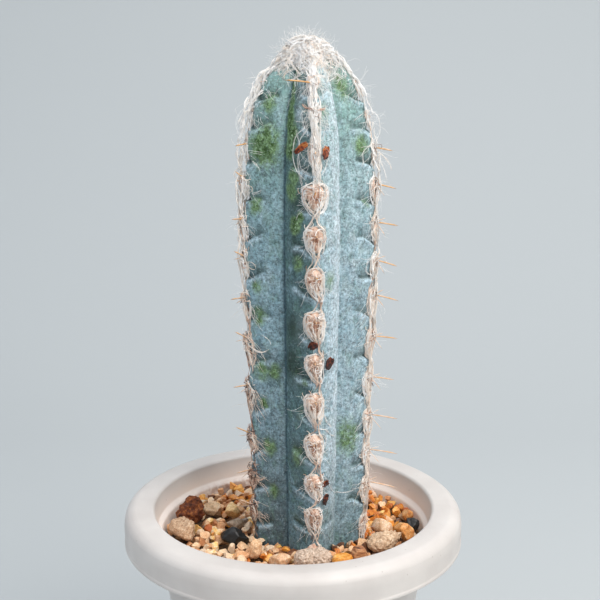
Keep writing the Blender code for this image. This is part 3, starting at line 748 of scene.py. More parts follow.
# %% [markdown]
# ## Small pebbles
# Seven model pebbles, each with one more flat break than the last, are enough for the eye. Each copy is
# turned and scaled at random from one seeded stream. Quartz pebbles are amber and orange, sandstone ones
# pink and buff, and a few dark chips lie between them, in the mix that each side of the pot shows.
# %% Model pebbles
MODEL_PEBBLES = 7
MODEL_SEED = 500
FEWEST_BREAKS = 6
PEBBLE_BREAKS = (0.38, 0.68)
models = []
for number in range(MODEL_PEBBLES):
    rng = random.Random(MODEL_SEED + number)
    deselect()
    bpy.ops.mesh.primitive_ico_sphere_add(subdivisions=2, radius=1)
    model = named(f"model_pebble_{number}")
    edit(model)
    bpy.ops.transform.vertex_random(offset=0.1, uniform=1.0, seed=number + 1)
    for _ in range(number + FEWEST_BREAKS):
        way = Vector((rng.gauss(0, 1), rng.gauss(0, 1), rng.gauss(0, 1))).normalized()
        break_off(way, rng.uniform(*PEBBLE_BREAKS))
    bpy.ops.mesh.select_all(action="SELECT")
    bpy.ops.mesh.quads_convert_to_tris()
    leave_edit()
    smooth(model, 26)
    models.append(model)

# %% Drop them
PEBBLES = 540
PEBBLE_RADII = (1.4 * MM, 3.4 * MM)
PEBBLE_CEILING = POT_HEIGHT - 9.8 * MM
PEBBLE_SEED = 8
# How close pebbles may lie, as a share of their radii together, so that they nest
PEBBLE_SINK = 0.78
# Shares of a pebble's radius: its gaps to the wall, the stem and a stone, its rest on the bed, its rise
WALL_GAP, STEM_GAP, STONE_GAP, BED_REST, PEBBLE_RISE = 0.9, 0.85, 0.5, 0.35, 0.75
# A pebble's length, and the spans of its width and height, against its radius
PEBBLE_LENGTH, PEBBLE_WIDTHS, PEBBLE_HEIGHTS = 1.4, (0.95, 1.4), (0.85, 1.2)
# Pebbles this close in front of a larger stone are kept lower by this much, so that the stone shows
CLEAR_VIEW = 5 * MM
FRONT_DROP = 1.8 * MM
TRIES = 26000
# Chances of sandstone, quartz and dark chips, by the quarter of the pot: right or left, back or front
MIXES = {
    (False, True): (0.6, 0.3, 0.1),
    (True, True): (0.2, 0.76, 0.04),
    (False, False): (0.85, 0.13, 0.02),
    (True, False): (0.5, 0.42, 0.08),
}
# Pebbles that the eye looks for, put down first: place and radius in mm, kind and tone
PLACED_PEBBLES = (
    (-39.8, 1.5, 2.5, "quartz", 0.72), (-39.2, -8.9, 1.9, "sandstone", 0.4),
    (-33.2, 0.5, 2.2, "quartz", 0.82), (-30.4, 3.5, 2.2, "sandstone", 0.2),
    (-30.2, 18.1, 1.9, "quartz", 0.3), (-37.5, 9.4, 1.9, "sandstone", 0.05),
    (-35.8, -10.3, 2.0, "sandstone", 0.6), (-33.1, -6.5, 2.0, "quartz", 0.9),
    (-31.8, -14.2, 2.1, "sandstone", 0.8), (-33.9, -18.9, 1.8, "sandstone", 0.5),
    (-27.1, -25.4, 2.3, "sandstone", 0.95), (-23.5, -25.8, 2.2, "quartz", 0.95),
    (-17.8, -29.0, 1.9, "quartz", 0.12), (-10.3, -27.2, 2.3, "quartz", 0.55),
    (-36.1, 37.0, 2.3, "sandstone", 0.7), (-28.9, 38.0, 2.3, "quartz", 0.25),
    (-25.4, 30.1, 2.2, "quartz", 0.15), (-30.2, 29.0, 2.0, "sandstone", 0.3),
    (-21.9, 20.3, 1.8, "sandstone", 0.55), (20.0, -21.6, 1.7, "quartz", 1.3),
    (31.3, -27.4, 1.7, "quartz", 0.05), (34.6, -27.5, 1.8, "quartz", 0.1),
    (43.1, 5.6, 2.5, "quartz", 0.5), (42.6, -1.6, 1.8, "quartz", 1.1), (35.1, 21.3, 2.3, "quartz", 0.42),
    (39.6, 22.4, 2.7, "quartz", 0.5), (36.4, 13.9, 2.3, "quartz", 0.3), (42.5, 28.0, 2.5, "quartz", 0.6),
    (46.0, 25.0, 2.4, "quartz", 0.25), (45.2, 18.8, 2.4, "quartz", 0.5),
    (47.6, 15.2, 2.0, "sandstone", 0.5), (40.6, 16.4, 2.2, "quartz", 0.4),
    (36.5, 30.1, 2.3, "quartz", 0.6), (40.5, 10.6, 2.2, "sandstone", 0.45),
    (22.8, -29.4, 1.5, "dark", 0.4), (-28, -20, 2.3, "sandstone", 0.7),
    (-22.4, -19.6, 2.3, "sandstone", 0.45), (-31.4, -17.6, 2, "quartz", 0.85),
    (-25.2, -18.4, 2.4, "sandstone", 0.8), (-20.2, -17.6, 2.0, "sandstone", 0.6),
    (-24.6, -21.6, 2.2, "sandstone", 0.9), (20.4, -21.4, 1.9, "quartz", 1.4),
    (-10.2, -28.4, 2.4, "quartz", 0.55),
)
rng = random.Random(PEBBLE_SEED)
lying = np.zeros((PEBBLES, 4))
count = 0
stone_spots = [(p[0] * MM, p[1] * MM, (s[0] + s[1]) / 4 * MM) for p, s, *_ in STONES.values()]
groups = {"sandstone": [], "quartz": [], "dark": []}
for turn in range(TRIES):
    if count == PEBBLES:
        break
    if turn < len(PLACED_PEBBLES):
        x, y, radius = (size * MM for size in PLACED_PEBBLES[turn][:3])
        group, tone = PLACED_PEBBLES[turn][3:]
    else:
        radius = PEBBLE_RADII[0] + (PEBBLE_RADII[1] - PEBBLE_RADII[0]) * rng.random() ** 1.15
        away = math.sqrt(rng.random()) * (inner_radius(BED_TOP) - radius * WALL_GAP)
        around = rng.uniform(0, 2 * math.pi)
        x = away * math.cos(around)
        y = away * math.sin(around)
        stem_azimuth = math.atan2(x - STEM_X, -(y - STEM_Y))
        stem_side = float(skin_radius(np.array(stem_azimuth), np.array(BED_TOP)))
        if math.hypot(x - STEM_X, y - STEM_Y) < stem_side + radius * STEM_GAP:
            continue
        kept_off = radius * STONE_GAP
        if any(math.hypot(x - sx, y - sy) < reach * 0.95 + kept_off for sx, sy, reach in stone_spots):
            continue
        group = rng.choices(list(groups), MIXES[(x > 0, y > 0)])[0]
        tone = rng.random() ** (1.6 if x > 0 and y > 0 else 1)
    hides = [abs(x - sx) < reach and 0 < sy - y < reach + CLEAR_VIEW for sx, sy, reach in stone_spots]
    drop = FRONT_DROP if turn >= len(PLACED_PEBBLES) and any(hides) else 0
    apart = np.hypot(lying[:count, 0] - x, lying[:count, 1] - y)
    reach = (lying[:count, 3] + radius) * PEBBLE_SINK
    near = apart < reach
    rest = BED_TOP + radius * BED_REST
    if near.any():
        held_up = lying[:count, 2][near] + np.sqrt(reach[near] ** 2 - apart[near] ** 2)
        rest = max(rest, float(held_up.max()))
    if rest + radius * PEBBLE_RISE > PEBBLE_CEILING - drop:
        continue
    lying[count] = (x, y, rest, radius)
    count += 1
    shape = (PEBBLE_LENGTH, rng.uniform(*PEBBLE_WIDTHS), rng.uniform(*PEBBLE_HEIGHTS))
    scale = Matrix.Diagonal((*(radius * side for side in shape), 1))
    tilt = Matrix.Rotation(rng.gauss(0, 0.5), 4, "X") @ Matrix.Rotation(rng.gauss(0, 0.5), 4, "Y")
    spin = Matrix.Rotation(rng.uniform(0, 6.3), 4, "Z")
    pebble = copy_of(rng.choice(models), Matrix.Translation((x, y, rest)) @ spin @ tilt @ scale)
    store(pebble, "tone", np.full(len(pebble.data.vertices), tone))
    groups[group].append(pebble)
print(f"{count} pebbles")
for model in models:
    bpy.data.objects.remove(model, do_unlink=True)

# %% Pebble finishes
# Name: tones along the draw, roughness, light let through
PEBBLE_TONES = {
    "sandstone": (
        [(0.0, "#B5794E"), (0.25, "#D29B6D"), (0.5, "#E4B68B"), (0.75, "#EFCFAA"), (1.0, "#DDC3A8")],
        0.8, 0.03,
    ),
    "quartz": (
        [(0.0, "#B25A20"), (0.3, "#D88735"), (0.55, "#E8A64C"), (0.8, "#EFC27A"), (1.0, "#F3E2C4")],
        0.5, 0.12,
    ),
    "dark": ([(0.0, "#2A2422"), (0.35, "#5A3A28"), (0.7, "#7B4A2A"), (1.0, "#8F8379")], 0.7, 0.0),
}

for group, (stops, roughness, through) in PEBBLE_TONES.items():
    finish, tree, shader = new_material(
        f"{group}_pebbles", Roughness=roughness, Subsurface_Weight=through,
        Subsurface_Radius=(1.2 * MM, 0.7 * MM, 0.4 * MM), Subsurface_Scale=1.0)
    tone = add(tree, "ShaderNodeAttribute", attribute_name="tone")
    place = add(tree, "ShaderNodeTexCoord").outputs["Object"]
    veins = add(tree, "ShaderNodeTexNoise", {"Vector": place, "Scale": 1 / (1.6 * MM), "Detail": 4.0})
    drift = add(tree, "ShaderNodeMapRange",
                {"Value": veins.outputs["Fac"], 1: 0.3, 2: 0.7, 3: -0.22, 4: 0.22})
    blend = add(tree, "ShaderNodeMath",
                {0: tone.outputs["Fac"], 1: drift.outputs["Result"]}, operation="ADD")
    ramp = add(tree, "ShaderNodeValToRGB", {"Fac": blend.outputs[0]}, stops)
    dots = add(tree, "ShaderNodeTexNoise", {"Vector": place, "Scale": 1 / (0.4 * MM), "Detail": 1.0})
    shade = add(tree, "ShaderNodeMapRange", {"Value": dots.outputs["Fac"], 1: 0.3, 2: 0.7, 3: 0.82, 4: 1.15})
    grained = add(tree, "ShaderNodeMix", {0: 1.0, 6: ramp.outputs["Color"], 7: shade.outputs["Result"]},
                  data_type="RGBA", blend_type="MULTIPLY")
    tree.links.new(grained.outputs[2], shader.inputs["Base Color"])
    bump = add(tree, "ShaderNodeBump",
               {"Height": dots.outputs["Fac"], "Strength": 0.3, "Distance": 0.1 * MM})
    tree.links.new(bump.outputs["Normal"], shader.inputs["Normal"])
    piece = join(f"pebbles_{group}", groups[group], finish)
    finish_piece(piece, "mixed_gravel")

# %% [markdown]
# ## The skin
# A blue torch cactus grows in stacked swellings, one under each areole, and a sharp crease parts one from
# the next. Each crease runs out from the crest and rises a little into the face. Loop cuts could never
# follow five ribs with areoles at different heights, so the skin starts as a sphere primitive whose rings
# and segments are laid on the ribbed column by the formulas above, and the creases are pressed in.
# %% Lay a sphere on the ribs
SKIN_COLUMNS = 180
RING_STEP = 0.66 * MM
DOME_RINGS = 40
BURIED_RINGS = 8
dome_turns = (np.arange(DOME_RINGS) + 1) / DOME_RINGS * math.radians(45)
dome_heights = STEM_TOP - DOME_LENGTH * (1 - np.cos(dome_turns))
gravel_line = POT_HEIGHT - 15 * MM
wall_rings = int((dome_heights[-1] - gravel_line) / RING_STEP)
wall_heights = np.linspace(dome_heights[-1], gravel_line, wall_rings + 1)[1:]
buried_heights = gravel_line - (gravel_line - STEM_FOOT) * np.sin(
    np.linspace(0, math.pi / 2, BURIED_RINGS + 2)[1:-1])
ring_heights = np.concatenate((dome_heights, wall_heights, buried_heights))

deselect()
bpy.ops.mesh.primitive_uv_sphere_add(segments=SKIN_COLUMNS, ring_count=len(ring_heights) + 1, radius=1)
skin = named("stem_skin")
unit = positions(skin)
level = np.rint(np.arccos(np.clip(unit[:, 2], -1, 1)) / math.pi * (len(ring_heights) + 1)).astype(int)
spoke = np.rint(np.arctan2(unit[:, 1], unit[:, 0]) / (2 * math.pi) * SKIN_COLUMNS)
skin_azimuth = FRONT_RIB + spoke * 2 * math.pi / SKIN_COLUMNS
padded_heights = np.concatenate(([STEM_TOP], ring_heights, [STEM_FOOT]))
skin_height = padded_heights[level]
print(f"{len(ring_heights)} rings of {SKIN_COLUMNS}")

# %% Press in the creases
CREASE_DEPTH = 1.35 * MM
POCKET = 2.1 * MM
LIP = 0.3 * MM
LIP_BULGE = 0.3
LIP_DROP = 1.5 * MM
LIP_SPREAD = 1.1 * MM
CREASE_RISE = 2.6 * MM
CREASE_REACH = (0.5, 0.8)
SHALLOW_FACES = {(0, 1): 0.35}
crease_rng = random.Random(21)
dents = np.zeros(len(unit))
shadow = np.zeros(len(unit))
lip_highlights = np.zeros(len(unit))
for rib in range(RIBS):
    crest = FRONT_RIB + rib * RIB_ANGLE
    turn = (skin_azimuth - crest + math.pi) % (2 * math.pi) - math.pi
    side = np.abs(turn) / HALF_RIB
    for gap in range(AREOLES.shape[1] - 1):
        middle = AREOLES[rib, gap] * 0.48 + AREOLES[rib, gap + 1] * 0.52
        for hand in (-1, 1):
            reach = crease_rng.uniform(*CREASE_REACH)
            depth = CREASE_DEPTH * crease_rng.uniform(0.7, 1.15) * SHALLOW_FACES.get((rib, hand), 1)
            rise = CREASE_RISE * crease_rng.uniform(0.4, 1.3)
            waver = crease_rng.uniform(0.2, 0.6) * MM
            phase = crease_rng.uniform(0, 6)
            on_face = (side <= 1) & (turn * hand >= 0)
            line = middle + rise * np.sin(math.pi * side * 0.9) + waver * np.sin(side * 9 + phase)
            above = skin_height - line
            fade = np.clip((reach - side) / 0.22, 0, 1)
            fade = fade * fade * (3 - 2 * fade)
            pocket = np.exp(-np.maximum(above, 0) / POCKET) * np.exp(np.minimum(above, 0) / LIP)
            lip_and_highlight = LIP_BULGE * np.exp(-((above + LIP_DROP) / LIP_SPREAD) ** 2)
            dents += np.where(on_face, depth * fade * (pocket - lip_and_highlight), 0)
            # Each crease's pocket is kept as painted shade, and the lip below it as a painted highlight
            shadow = np.maximum(shadow, np.where(on_face, fade * pocket * depth / CREASE_DEPTH, 0))
            lip_highlights = np.maximum(lip_highlights, np.where(on_face, fade * lip_and_highlight / LIP_BULGE, 0))

# %% Swell the tubercles and lay the points
SWELLS = (0.5 * MM, 0.4 * MM, 0.5 * MM, 0.5 * MM, 1.6 * MM)
SWELL_TALL = 5.5 * MM
swell = np.zeros(len(unit))
for rib in range(RIBS):
    crest = FRONT_RIB + rib * RIB_ANGLE
    turn = (skin_azimuth - crest + math.pi) % (2 * math.pi) - math.pi
    side = np.clip(1 - np.abs(turn) / HALF_RIB, 0, 1)
    for height in AREOLES[rib]:
        swell += SWELLS[rib] * side * np.exp(-((skin_height - height) / SWELL_TALL) ** 2)
bury = np.clip((skin_height - (gravel_line - 4 * MM)) / (6 * MM), 0, 1)
skin_points = on_column(skin_azimuth, skin_height, (swell - dents) * bury)
apex = level == 0
nadir = level > len(ring_heights)
skin_points[apex] = (STEM_X, STEM_Y, STEM_TOP)
skin_points[nadir] = (STEM_X, STEM_Y, STEM_FOOT)
move_points(skin, skin_points)

# %% Wrinkle it finely
# Name: grain size, depth
WRINKLES = {"ripple": (6 * MM, 0.3 * MM), "wrinkle": (1.8 * MM, 0.12 * MM)}
for wrinkle_name, (size, depth) in WRINKLES.items():
    grain_texture = bpy.data.textures.new(wrinkle_name, "CLOUDS")
    grain_texture.noise_scale = size
    displace = skin.modifiers.new(wrinkle_name, "DISPLACE")
    displace.texture = grain_texture
    displace.texture_coords = "LOCAL"
    displace.strength = depth * 2
    displace.mid_level = 0.5
apply_modifiers(skin)
smooth(skin, 75)

# %% [markdown]
# The skin is blue-green under a pale wax bloom. Where the wax was rubbed off it shows deep green, mostly
# on the crest edges beside the areoles, and where it was scraped it is chalky. These places differ from
# plant to plant, so they are marked one by one with their rib, angle from the crest, height and size, and
# kept as numbers on the points that the shader breaks up with noise. Light and shade are painted the same
# way: the chalk is laid thickest on the faces turned to the key as painted light, the front rib's left face
# is left bare and dark as painted shade, and the creases, hollows and grooves get painted shade.
# %% Rubbed, chalky and shaded places
# Rib, angle off the crest in degrees, height above the rim, radius and strength, in millimetres
RUBBED = (
    (4, 16.1, 150.6, 7, 1.1), (4, 14.9, 166.5, 4, 0.8), (4, 24.2, 61.9, 3.4, 0.75),
    (4, 17.8, 30, 3.6, 0.85), (4, 21, 10.9, 3, 0.85), (0, -22, 139.8, 3.8, 0.9),
    (0, -19.5, 121.6, 2.8, 1.5), (0, -14, 125, 1.8, 1.3), (0, -21, 63.6, 4.6, 0.3),
    (0, -21, 82, 3.4, 0.25), (0, -18, 28.5, 4.8, 0.6), (0, -2, 29.4, 2.5, 0.6), (0, -1.7, -0.7, 2.5, 0.6),
    (0, -24.7, 134.8, 4, 0.9), (1, -21.5, 173.3, 6, 0.8), (1, -13.2, 150.9, 4.4, 0.8),
    (1, -24, 33.9, 8, 0.72), (0, 12, 163, 4, 0.5), (0, -16, 107, 3, 0.8), (0, -13, 47, 4, 0.45),
    (1, -8, 128, 3, 0.5), (0, -29, 183, 2, 1), (0, -30, 179, 2.3, 1), (0, -30.5, 175, 2.3, 1.05),
    (0, -30.5, 171, 2.3, 1.1), (0, -30, 167, 2.6, 1.2), (0, -30, 163, 2.9, 1.3), (0, -29, 159, 3.2, 1.4),
    (0, -26, 155.5, 3.6, 1.5), (0, -28, 150, 3.4, 1.3), (0, -9, 59.6, 1.8, 0.6), (0, 16, 100, 4.5, 0.55),
    (4, 10, 84, 4, 0.8), (4, 12, 48, 2, 1.2), (4, 9, 128, 3.5, 0.8), (4, 10, 96, 3, 0.7),
    (4, 12, 62, 4, 0.8), (3, -14, 120, 6, 0.8), (3, 18, 60, 5, 0.8), (2, 14, 140, 6, 0.8),
    (2, -16, 90, 4, 0.7), (1, 16, 60, 5, 0.8),
)
# The same for places where the bloom is thick and whitish
DUSTED = (
    (0, -15, 171, 3.2, 0.6), (0, -15, 163, 3, 0.55), (0, -12, 144, 4, 0.3), (1, -24, 115, 4, 0.6),
    (0, 12, 165, 6, 0.6), (0, 12, 150, 6, 0.6), (1, -21, 104, 4, 0.6), (1, -18, 88, 5, 0.4),
    (0, -11, 80, 4, 0.35), (4, 22, 100, 6, 0.3), (4, 20, 70, 5, 0.3), (2, 12, 120, 7, 0.4),
    (3, -12, 80, 7, 0.4),
)
# The same for painted shade in the hollows
SHADED = (
    (0, -24, 80, 6, 1.0), (0, -15, 79, 4.6, 0.9), (0, -25, 66, 6.4, 1.1), (0, -14, 63, 5, 1.0),
    (0, -20, 170.6, 1.8, 0.9), (0, -13, 170.4, 1.5, 0.8), (0, -18, 129.5, 4, 1.0),
    (0, -19.7, 121, 3.4, 0.7), (0, -17, 111, 4, 0.9), (0, -10, 96.5, 3, 0.9), (0, -22, 82, 4.4, 1.0),
    (0, -24, 69, 4.6, 1.1), (0, -17, 64, 5, 1.1), (0, -12, 60, 3, 1.0), (0, -29, 181, 2.2, 0.7),
    (0, -31, 173, 2.2, 0.9), (0, -31, 165, 2.4, 0.9), (0, -30, 158, 2.6, 0.9), (0, -25, 156, 2.6, 1),
    (0, -27, 150, 3, 0.8), (0, -24, 135, 3.2, 0.85), (0, -21, 122, 3.2, 0.85), (0, -20, 116, 2.6, 0.8),
    (0, -18, 108, 2.6, 0.6), (0, -20, 62, 3, 0.5), (4, 14, 148, 2.4, 0.5), (4, 18, 30, 3.6, 1.1),
    (4, 24, 62, 3.8, 1.0), (4, 21, 11, 2.8, 1.0), (0, -18, 29, 5, 1.1), (0, -7, 29, 3, 1.0),
)
# How much wax and painted light each face has, named by its rib and the side of its crest, from bare to
# chalky
# Faces turned to the key are chalkiest as painted light; the front rib's left face is bare as painted shade
BLOOM_AND_LIGHT = {(0, 1): 1.0, (1, -1): 0.4, (4, 1): 0.16, (0, -1): 0.0}
COMMON_BLOOM_AND_LIGHT = 0.3
# How much darker and greyer each face is painted towards its foot
GREYED = {(4, 1): 0.95, (0, -1): 0.4, (0, 1): 0.35, (1, -1): 0.3}
COMMON_GREYED = 0.35
# How dark the painted shade in each groove is, by the rib on its left as the column turns
GROOVE_SHADES = {4: 1.0, 0: 0.1}
COMMON_GROOVE_SHADE = 0.5
GREY_HEIGHT = 75 * MM


def spots(places):
    """How strongly a list of round places marks each point of the skin."""
    total = np.zeros(len(unit))
    for rib, degrees, height, radius, strength in places:
        turn = skin_azimuth - FRONT_RIB - rib * RIB_ANGLE - math.radians(degrees)
        across = ((turn + math.pi) % (2 * math.pi) - math.pi) * STEM_RADIUS
        up = skin_height - POT_HEIGHT - height * MM
        near = np.exp(-(across ** 2 + (up * 0.8) ** 2) / (radius * MM) ** 2)
        total = np.maximum(total, near * strength)
    return total


face_turn = from_crest(skin_azimuth)
nearest_rib = np.rint((skin_azimuth - FRONT_RIB - face_turn) / RIB_ANGLE).astype(int) % RIBS
face_share = np.abs(face_turn) / HALF_RIB
bloom_and_light, groove, greyed = np.zeros((3, len(unit)))
for rib in range(RIBS):
    for hand in (-1, 1):
        on_face = (nearest_rib == rib) & (face_turn * hand >= 0)
        bloom_and_light[on_face] = BLOOM_AND_LIGHT.get((rib, hand), COMMON_BLOOM_AND_LIGHT)
        groove[on_face] = GROOVE_SHADES.get(rib if hand > 0 else (rib - 1) % RIBS, COMMON_GROOVE_SHADE)
        greyed[on_face] = GREYED.get((rib, hand), COMMON_GREYED)
# The chalk, partly wax and partly painted light, brightens towards the groove on the face turned most to the
# key
chalk_and_light = bloom_and_light * np.where(bloom_and_light > 0.9, np.clip(0.25 + 0.9 * face_share, 0, 1), 1)
chalk_and_light *= np.clip(0.45 + (skin_height - POT_HEIGHT) / (60 * MM), 0.3, 1)
chalk_and_light *= np.where(nearest_rib == 1, np.clip((STEM_TOP - skin_height) / (50 * MM), 0.3, 1), 1)
# Painted shade: the bare faces in part, the shadow and the groove. Painted light: the chalk in part and the
# lip's highlight.
MARKS = {
    "rub": spots(RUBBED),
    "chalk_and_light": np.maximum(chalk_and_light, spots(DUSTED)),
    "bare_and_shade": np.clip(1 - bloom_and_light / 0.2, 0, 1) * np.clip((skin_height - POT_HEIGHT) / (45 * MM), 0, 1),
    "shadow": np.clip(np.maximum(shadow, spots(SHADED)), 0, 1),
    "lip_and_highlight": np.clip(lip_highlights, 0, 1),
    "groove": groove * np.clip((face_share - 0.92) / 0.08, 0, 1),
    "young": np.clip((skin_height - POT_HEIGHT - 100 * MM) / (85 * MM), 0, 1),
    "greyed": greyed * np.clip(1 - (skin_height - POT_HEIGHT) / GREY_HEIGHT, 0, 1),
}
for mark, values in MARKS.items():
    store(skin, mark, values)
print(f"{len(RUBBED)} rubbed patches")

# %% [markdown]
# Wax scatters light evenly, so the finish is matt with a weak, broad highlight. The layers go on in this
# order: green tissue under blue bloom, darker grey towards the foot, bare faces that are partly painted
# shade, chalk that is partly painted light, painted shade in each crease and hollow with a painted highlight
# on its lip, painted shade in the grooves, the rubbed patches, and last a speckle of dots and scratches.
# Each layer is a mark kept on the points, broken up by noise of its own grain. The speckle of the real bloom
# is about a third of a millimetre, and is drawn two or three times as coarse, because a finer one is lost in
# the render.
# %% Waxy skin
# Each layer: its mark, grain in mm, how far the grain is drawn out upwards, the span of the noise and the
# two amounts that it gives, the span of the result that counts, and the colour
LAYERS = (
    ("young", 5.0, 1, (0.3, 0.6), (0.5, 0.8), (0, 1), "#6C9480"),
    ("greyed", 5.0, 1, (0.3, 0.6), (0.8, 1.1), (0, 1), "#3F545C"),
    ("bare_and_shade", 3.0, 1, (0.3, 0.6), (0.4, 0.75), (0, 1), "#3C5250"),
    (None, 3.6, 1.6, (0.5, 0.6), (0.0, 0.5), (0, 1), "#527466"),
    (None, 2.6, 2.0, (0.54, 0.66), (0.0, 0.4), (0, 1), "#A0BDCB"),
    ("chalk_and_light", 2.6, 1.5, (0.36, 0.58), (0.3, 1.0), (0, 1), "#BFCBD3"),
    ("chalk_and_light", 1.1, 7.0, (0.5, 0.72), (0.0, 0.6), (0, 1), "#E0E7EB"),
    ("shadow", 2.4, 1, (0.25, 0.6), (0.7, 1.0), (0, 1), "#2B4038"),
    ("lip_and_highlight", 2.4, 1, (0.3, 0.6), (0.25, 0.8), (0, 1), "#A9BEC9"),
    ("groove", 4.0, 3.0, (0.3, 0.6), (0.75, 0.95), (0, 1), "#2B4652"),
    ("rub", 2.6, 1.3, (0.35, 0.6), (0.45, 1.0), (0.2, 0.6), "#66825A"),
    ("rub", 1.8, 1, (0.42, 0.6), (0.3, 1.0), (0.45, 0.85), "#34501F"),
    ("rub", 1.2, 1, (0.54, 0.66), (0.0, 0.7), (0.2, 0.9), "#9AB394"),
    (None, 0.7, 1, (0.6, 0.7), (0.0, 0.55), (0, 1), "#CDD8E0"),
    (None, 0.9, 1.3, (0.42, 0.32), (0.0, 0.6), (0, 1), "#2F4A38"),
)
waxy, tree, shader = new_material(
    "wax_bloomed_skin", Roughness=0.6, Specular_IOR_Level=0.35, Subsurface_Weight=0.05,
    Subsurface_Radius=(0.6 * MM, 1.0 * MM, 0.8 * MM), Subsurface_Scale=1.0)
place = add(tree, "ShaderNodeTexCoord").outputs["Object"]
drift = add(tree, "ShaderNodeTexNoise",
            {"Vector": place, "Scale": 1 / (7 * MM), "Detail": 8.0, "Roughness": 0.75})
bloomed = add(tree, "ShaderNodeValToRGB", {"Fac": drift.outputs["Fac"]},
              [(0.3, "#42606A"), (0.5, "#6E909C"), (0.7, "#96B2BB")])
tone = bloomed.outputs["Color"]
for mark, grain, tall, (low, high), (least, most), (start, stop), code in LAYERS:
    drawn = add(tree, "ShaderNodeMapping", {"Vector": place, "Scale": (1, 1, 1 / tall)})
    noise = add(tree, "ShaderNodeTexNoise", {"Vector": drawn.outputs["Vector"], "Scale": 1 / (grain * MM),
                                             "Detail": 5.0, "Roughness": 0.75})
    share = add(tree, "ShaderNodeMapRange",
                {"Value": noise.outputs["Fac"], 1: low, 2: high, 3: least, 4: most})
    amount = share.outputs["Result"]
    if mark:
        kept = add(tree, "ShaderNodeAttribute", attribute_name=mark)
        held = add(tree, "ShaderNodeMath", {0: kept.outputs["Fac"], 1: amount}, operation="MULTIPLY")
        clear = add(tree, "ShaderNodeMapRange", {"Value": held.outputs[0], 1: float(start), 2: float(stop)})
        amount = clear.outputs["Result"]
    tone = add(tree, "ShaderNodeMix", {0: amount, 6: tone, 7: colour(code)}, data_type="RGBA").outputs[2]
speckle = add(tree, "ShaderNodeTexNoise",
              {"Vector": place, "Scale": 1 / (1.2 * MM), "Detail": 2.0, "Roughness": 0.95})
shade = add(tree, "ShaderNodeMapRange", {"Value": speckle.outputs["Fac"], 1: 0.34, 2: 0.66, 3: 0.4, 4: 1.58})
patchy = add(tree, "ShaderNodeMapRange", {"Value": drift.outputs["Fac"], 1: 0.36, 2: 0.62, 3: 1.0, 4: 0.62})
speckled = add(tree, "ShaderNodeMix", {0: patchy.outputs["Result"], 6: tone, 7: shade.outputs["Result"]},
               data_type="RGBA", blend_type="MULTIPLY")
tree.links.new(speckled.outputs[2], shader.inputs["Base Color"])
bump = add(tree, "ShaderNodeBump", {"Height": speckle.outputs["Fac"], "Strength": 0.6, "Distance": 0.2 * MM})
tree.links.new(bump.outputs["Normal"], shader.inputs["Normal"])
skin.data.materials.append(waxy)
finish_piece(skin, "blue_skin", "stem")

# %% [markdown]
# ## How hairs are made
# Wool is thousands of hairs. Particles would do it in a render, but the finished model needs real mesh,
# so each hair is a poly curve with a three-sided bevel that tapers to nothing at both ends. All curves of
# one piece become one mesh, each hair keeps a tint of its own, and its tips are merged shut. The real
# hairs are finer than a pixel, so they are drawn as thin locks about three times as thick.
# %% Hairs as bevelled curves
HAIR_SIDES = 3
TIP_SHARE = 0.15


def hair_section():
    """The small triangle that a hair's curve is bevelled with."""
    outline = bpy.data.curves.new("hair_section", "CURVE")
    outline.dimensions = "2D"
    spline = outline.splines.new("POLY")
    spline.points.add(HAIR_SIDES - 1)
    spline.use_cyclic_u = True
    for index, point in enumerate(spline.points):
        turn = -2 * math.pi * index / HAIR_SIDES
        point.co = (math.cos(turn), math.sin(turn), 0, 1)
    section = bpy.data.objects.new("hair_section", outline)
    bpy.context.scene.collection.objects.link(section)
    return section


def hairs_to_mesh(name, hairs, material):
    """Turn hairs, each its points, radius and tint, into one mesh with closed tips."""
    section = hair_section()
    curve = bpy.data.curves.new(name, "CURVE")
    curve.dimensions = "3D"
    curve.bevel_mode = "OBJECT"
    curve.bevel_object = section
    tints = []
    for points, radius, tint in hairs:
        count = len(points)
        spline = curve.splines.new("POLY")
        spline.points.add(count - 1)
        spline.points.foreach_set("co", np.column_stack((points, np.ones(count))).astype(np.float32).ravel())
        share = np.linspace(0, 1, count)
        taper = np.clip(np.minimum(share, 1 - share) / TIP_SHARE, 0, 1) ** 0.5
        spline.points.foreach_set("radius", (radius * taper).astype(np.float32))
        tints.append(np.repeat(np.broadcast_to(tint, count), HAIR_SIDES))
    thing = bpy.data.objects.new(name, curve)
    bpy.context.scene.collection.objects.link(thing)
    make_active(thing)
    bpy.ops.object.convert(target="MESH")
    piece = named(name)
    store(piece, "tint", np.concatenate(tints))
    edit(piece)
    bpy.ops.mesh.remove_doubles(threshold=0.001 * MM)
    leave_edit()
    smooth(piece)
    bpy.data.objects.remove(section, do_unlink=True)
    piece.data.materials.clear()
    piece.data.materials.append(material)
    return piece


# %% [markdown]
# Fresh wool is white. Down the ribs it ages to cream, then to a pinkish tan, and its roots look brown
# where they lie in their own shade. One ramp holds all of these, and each hair's tint picks its place on
# it. Hair is matt, lets a little light through, and a noise along it keeps it from looking plastic.
# %% Wool
wool, tree, shader = new_material("areole_wool", Roughness=0.8, Specular_IOR_Level=0.25, Sheen_Weight=0.15)
tint_mark = add(tree, "ShaderNodeAttribute", attribute_name="tint")
place = add(tree, "ShaderNodeTexCoord").outputs["Object"]
streaks = add(tree, "ShaderNodeTexNoise", {"Vector": place, "Scale": 1 / (1.3 * MM), "Detail": 2.0})
spread = add(tree, "ShaderNodeMapRange",
             {"Value": streaks.outputs["Fac"], 1: 0.25, 2: 0.75, 3: -0.12, 4: 0.12})
shifted = add(tree, "ShaderNodeMath",
              {0: tint_mark.outputs["Fac"], 1: spread.outputs["Result"]}, operation="ADD")
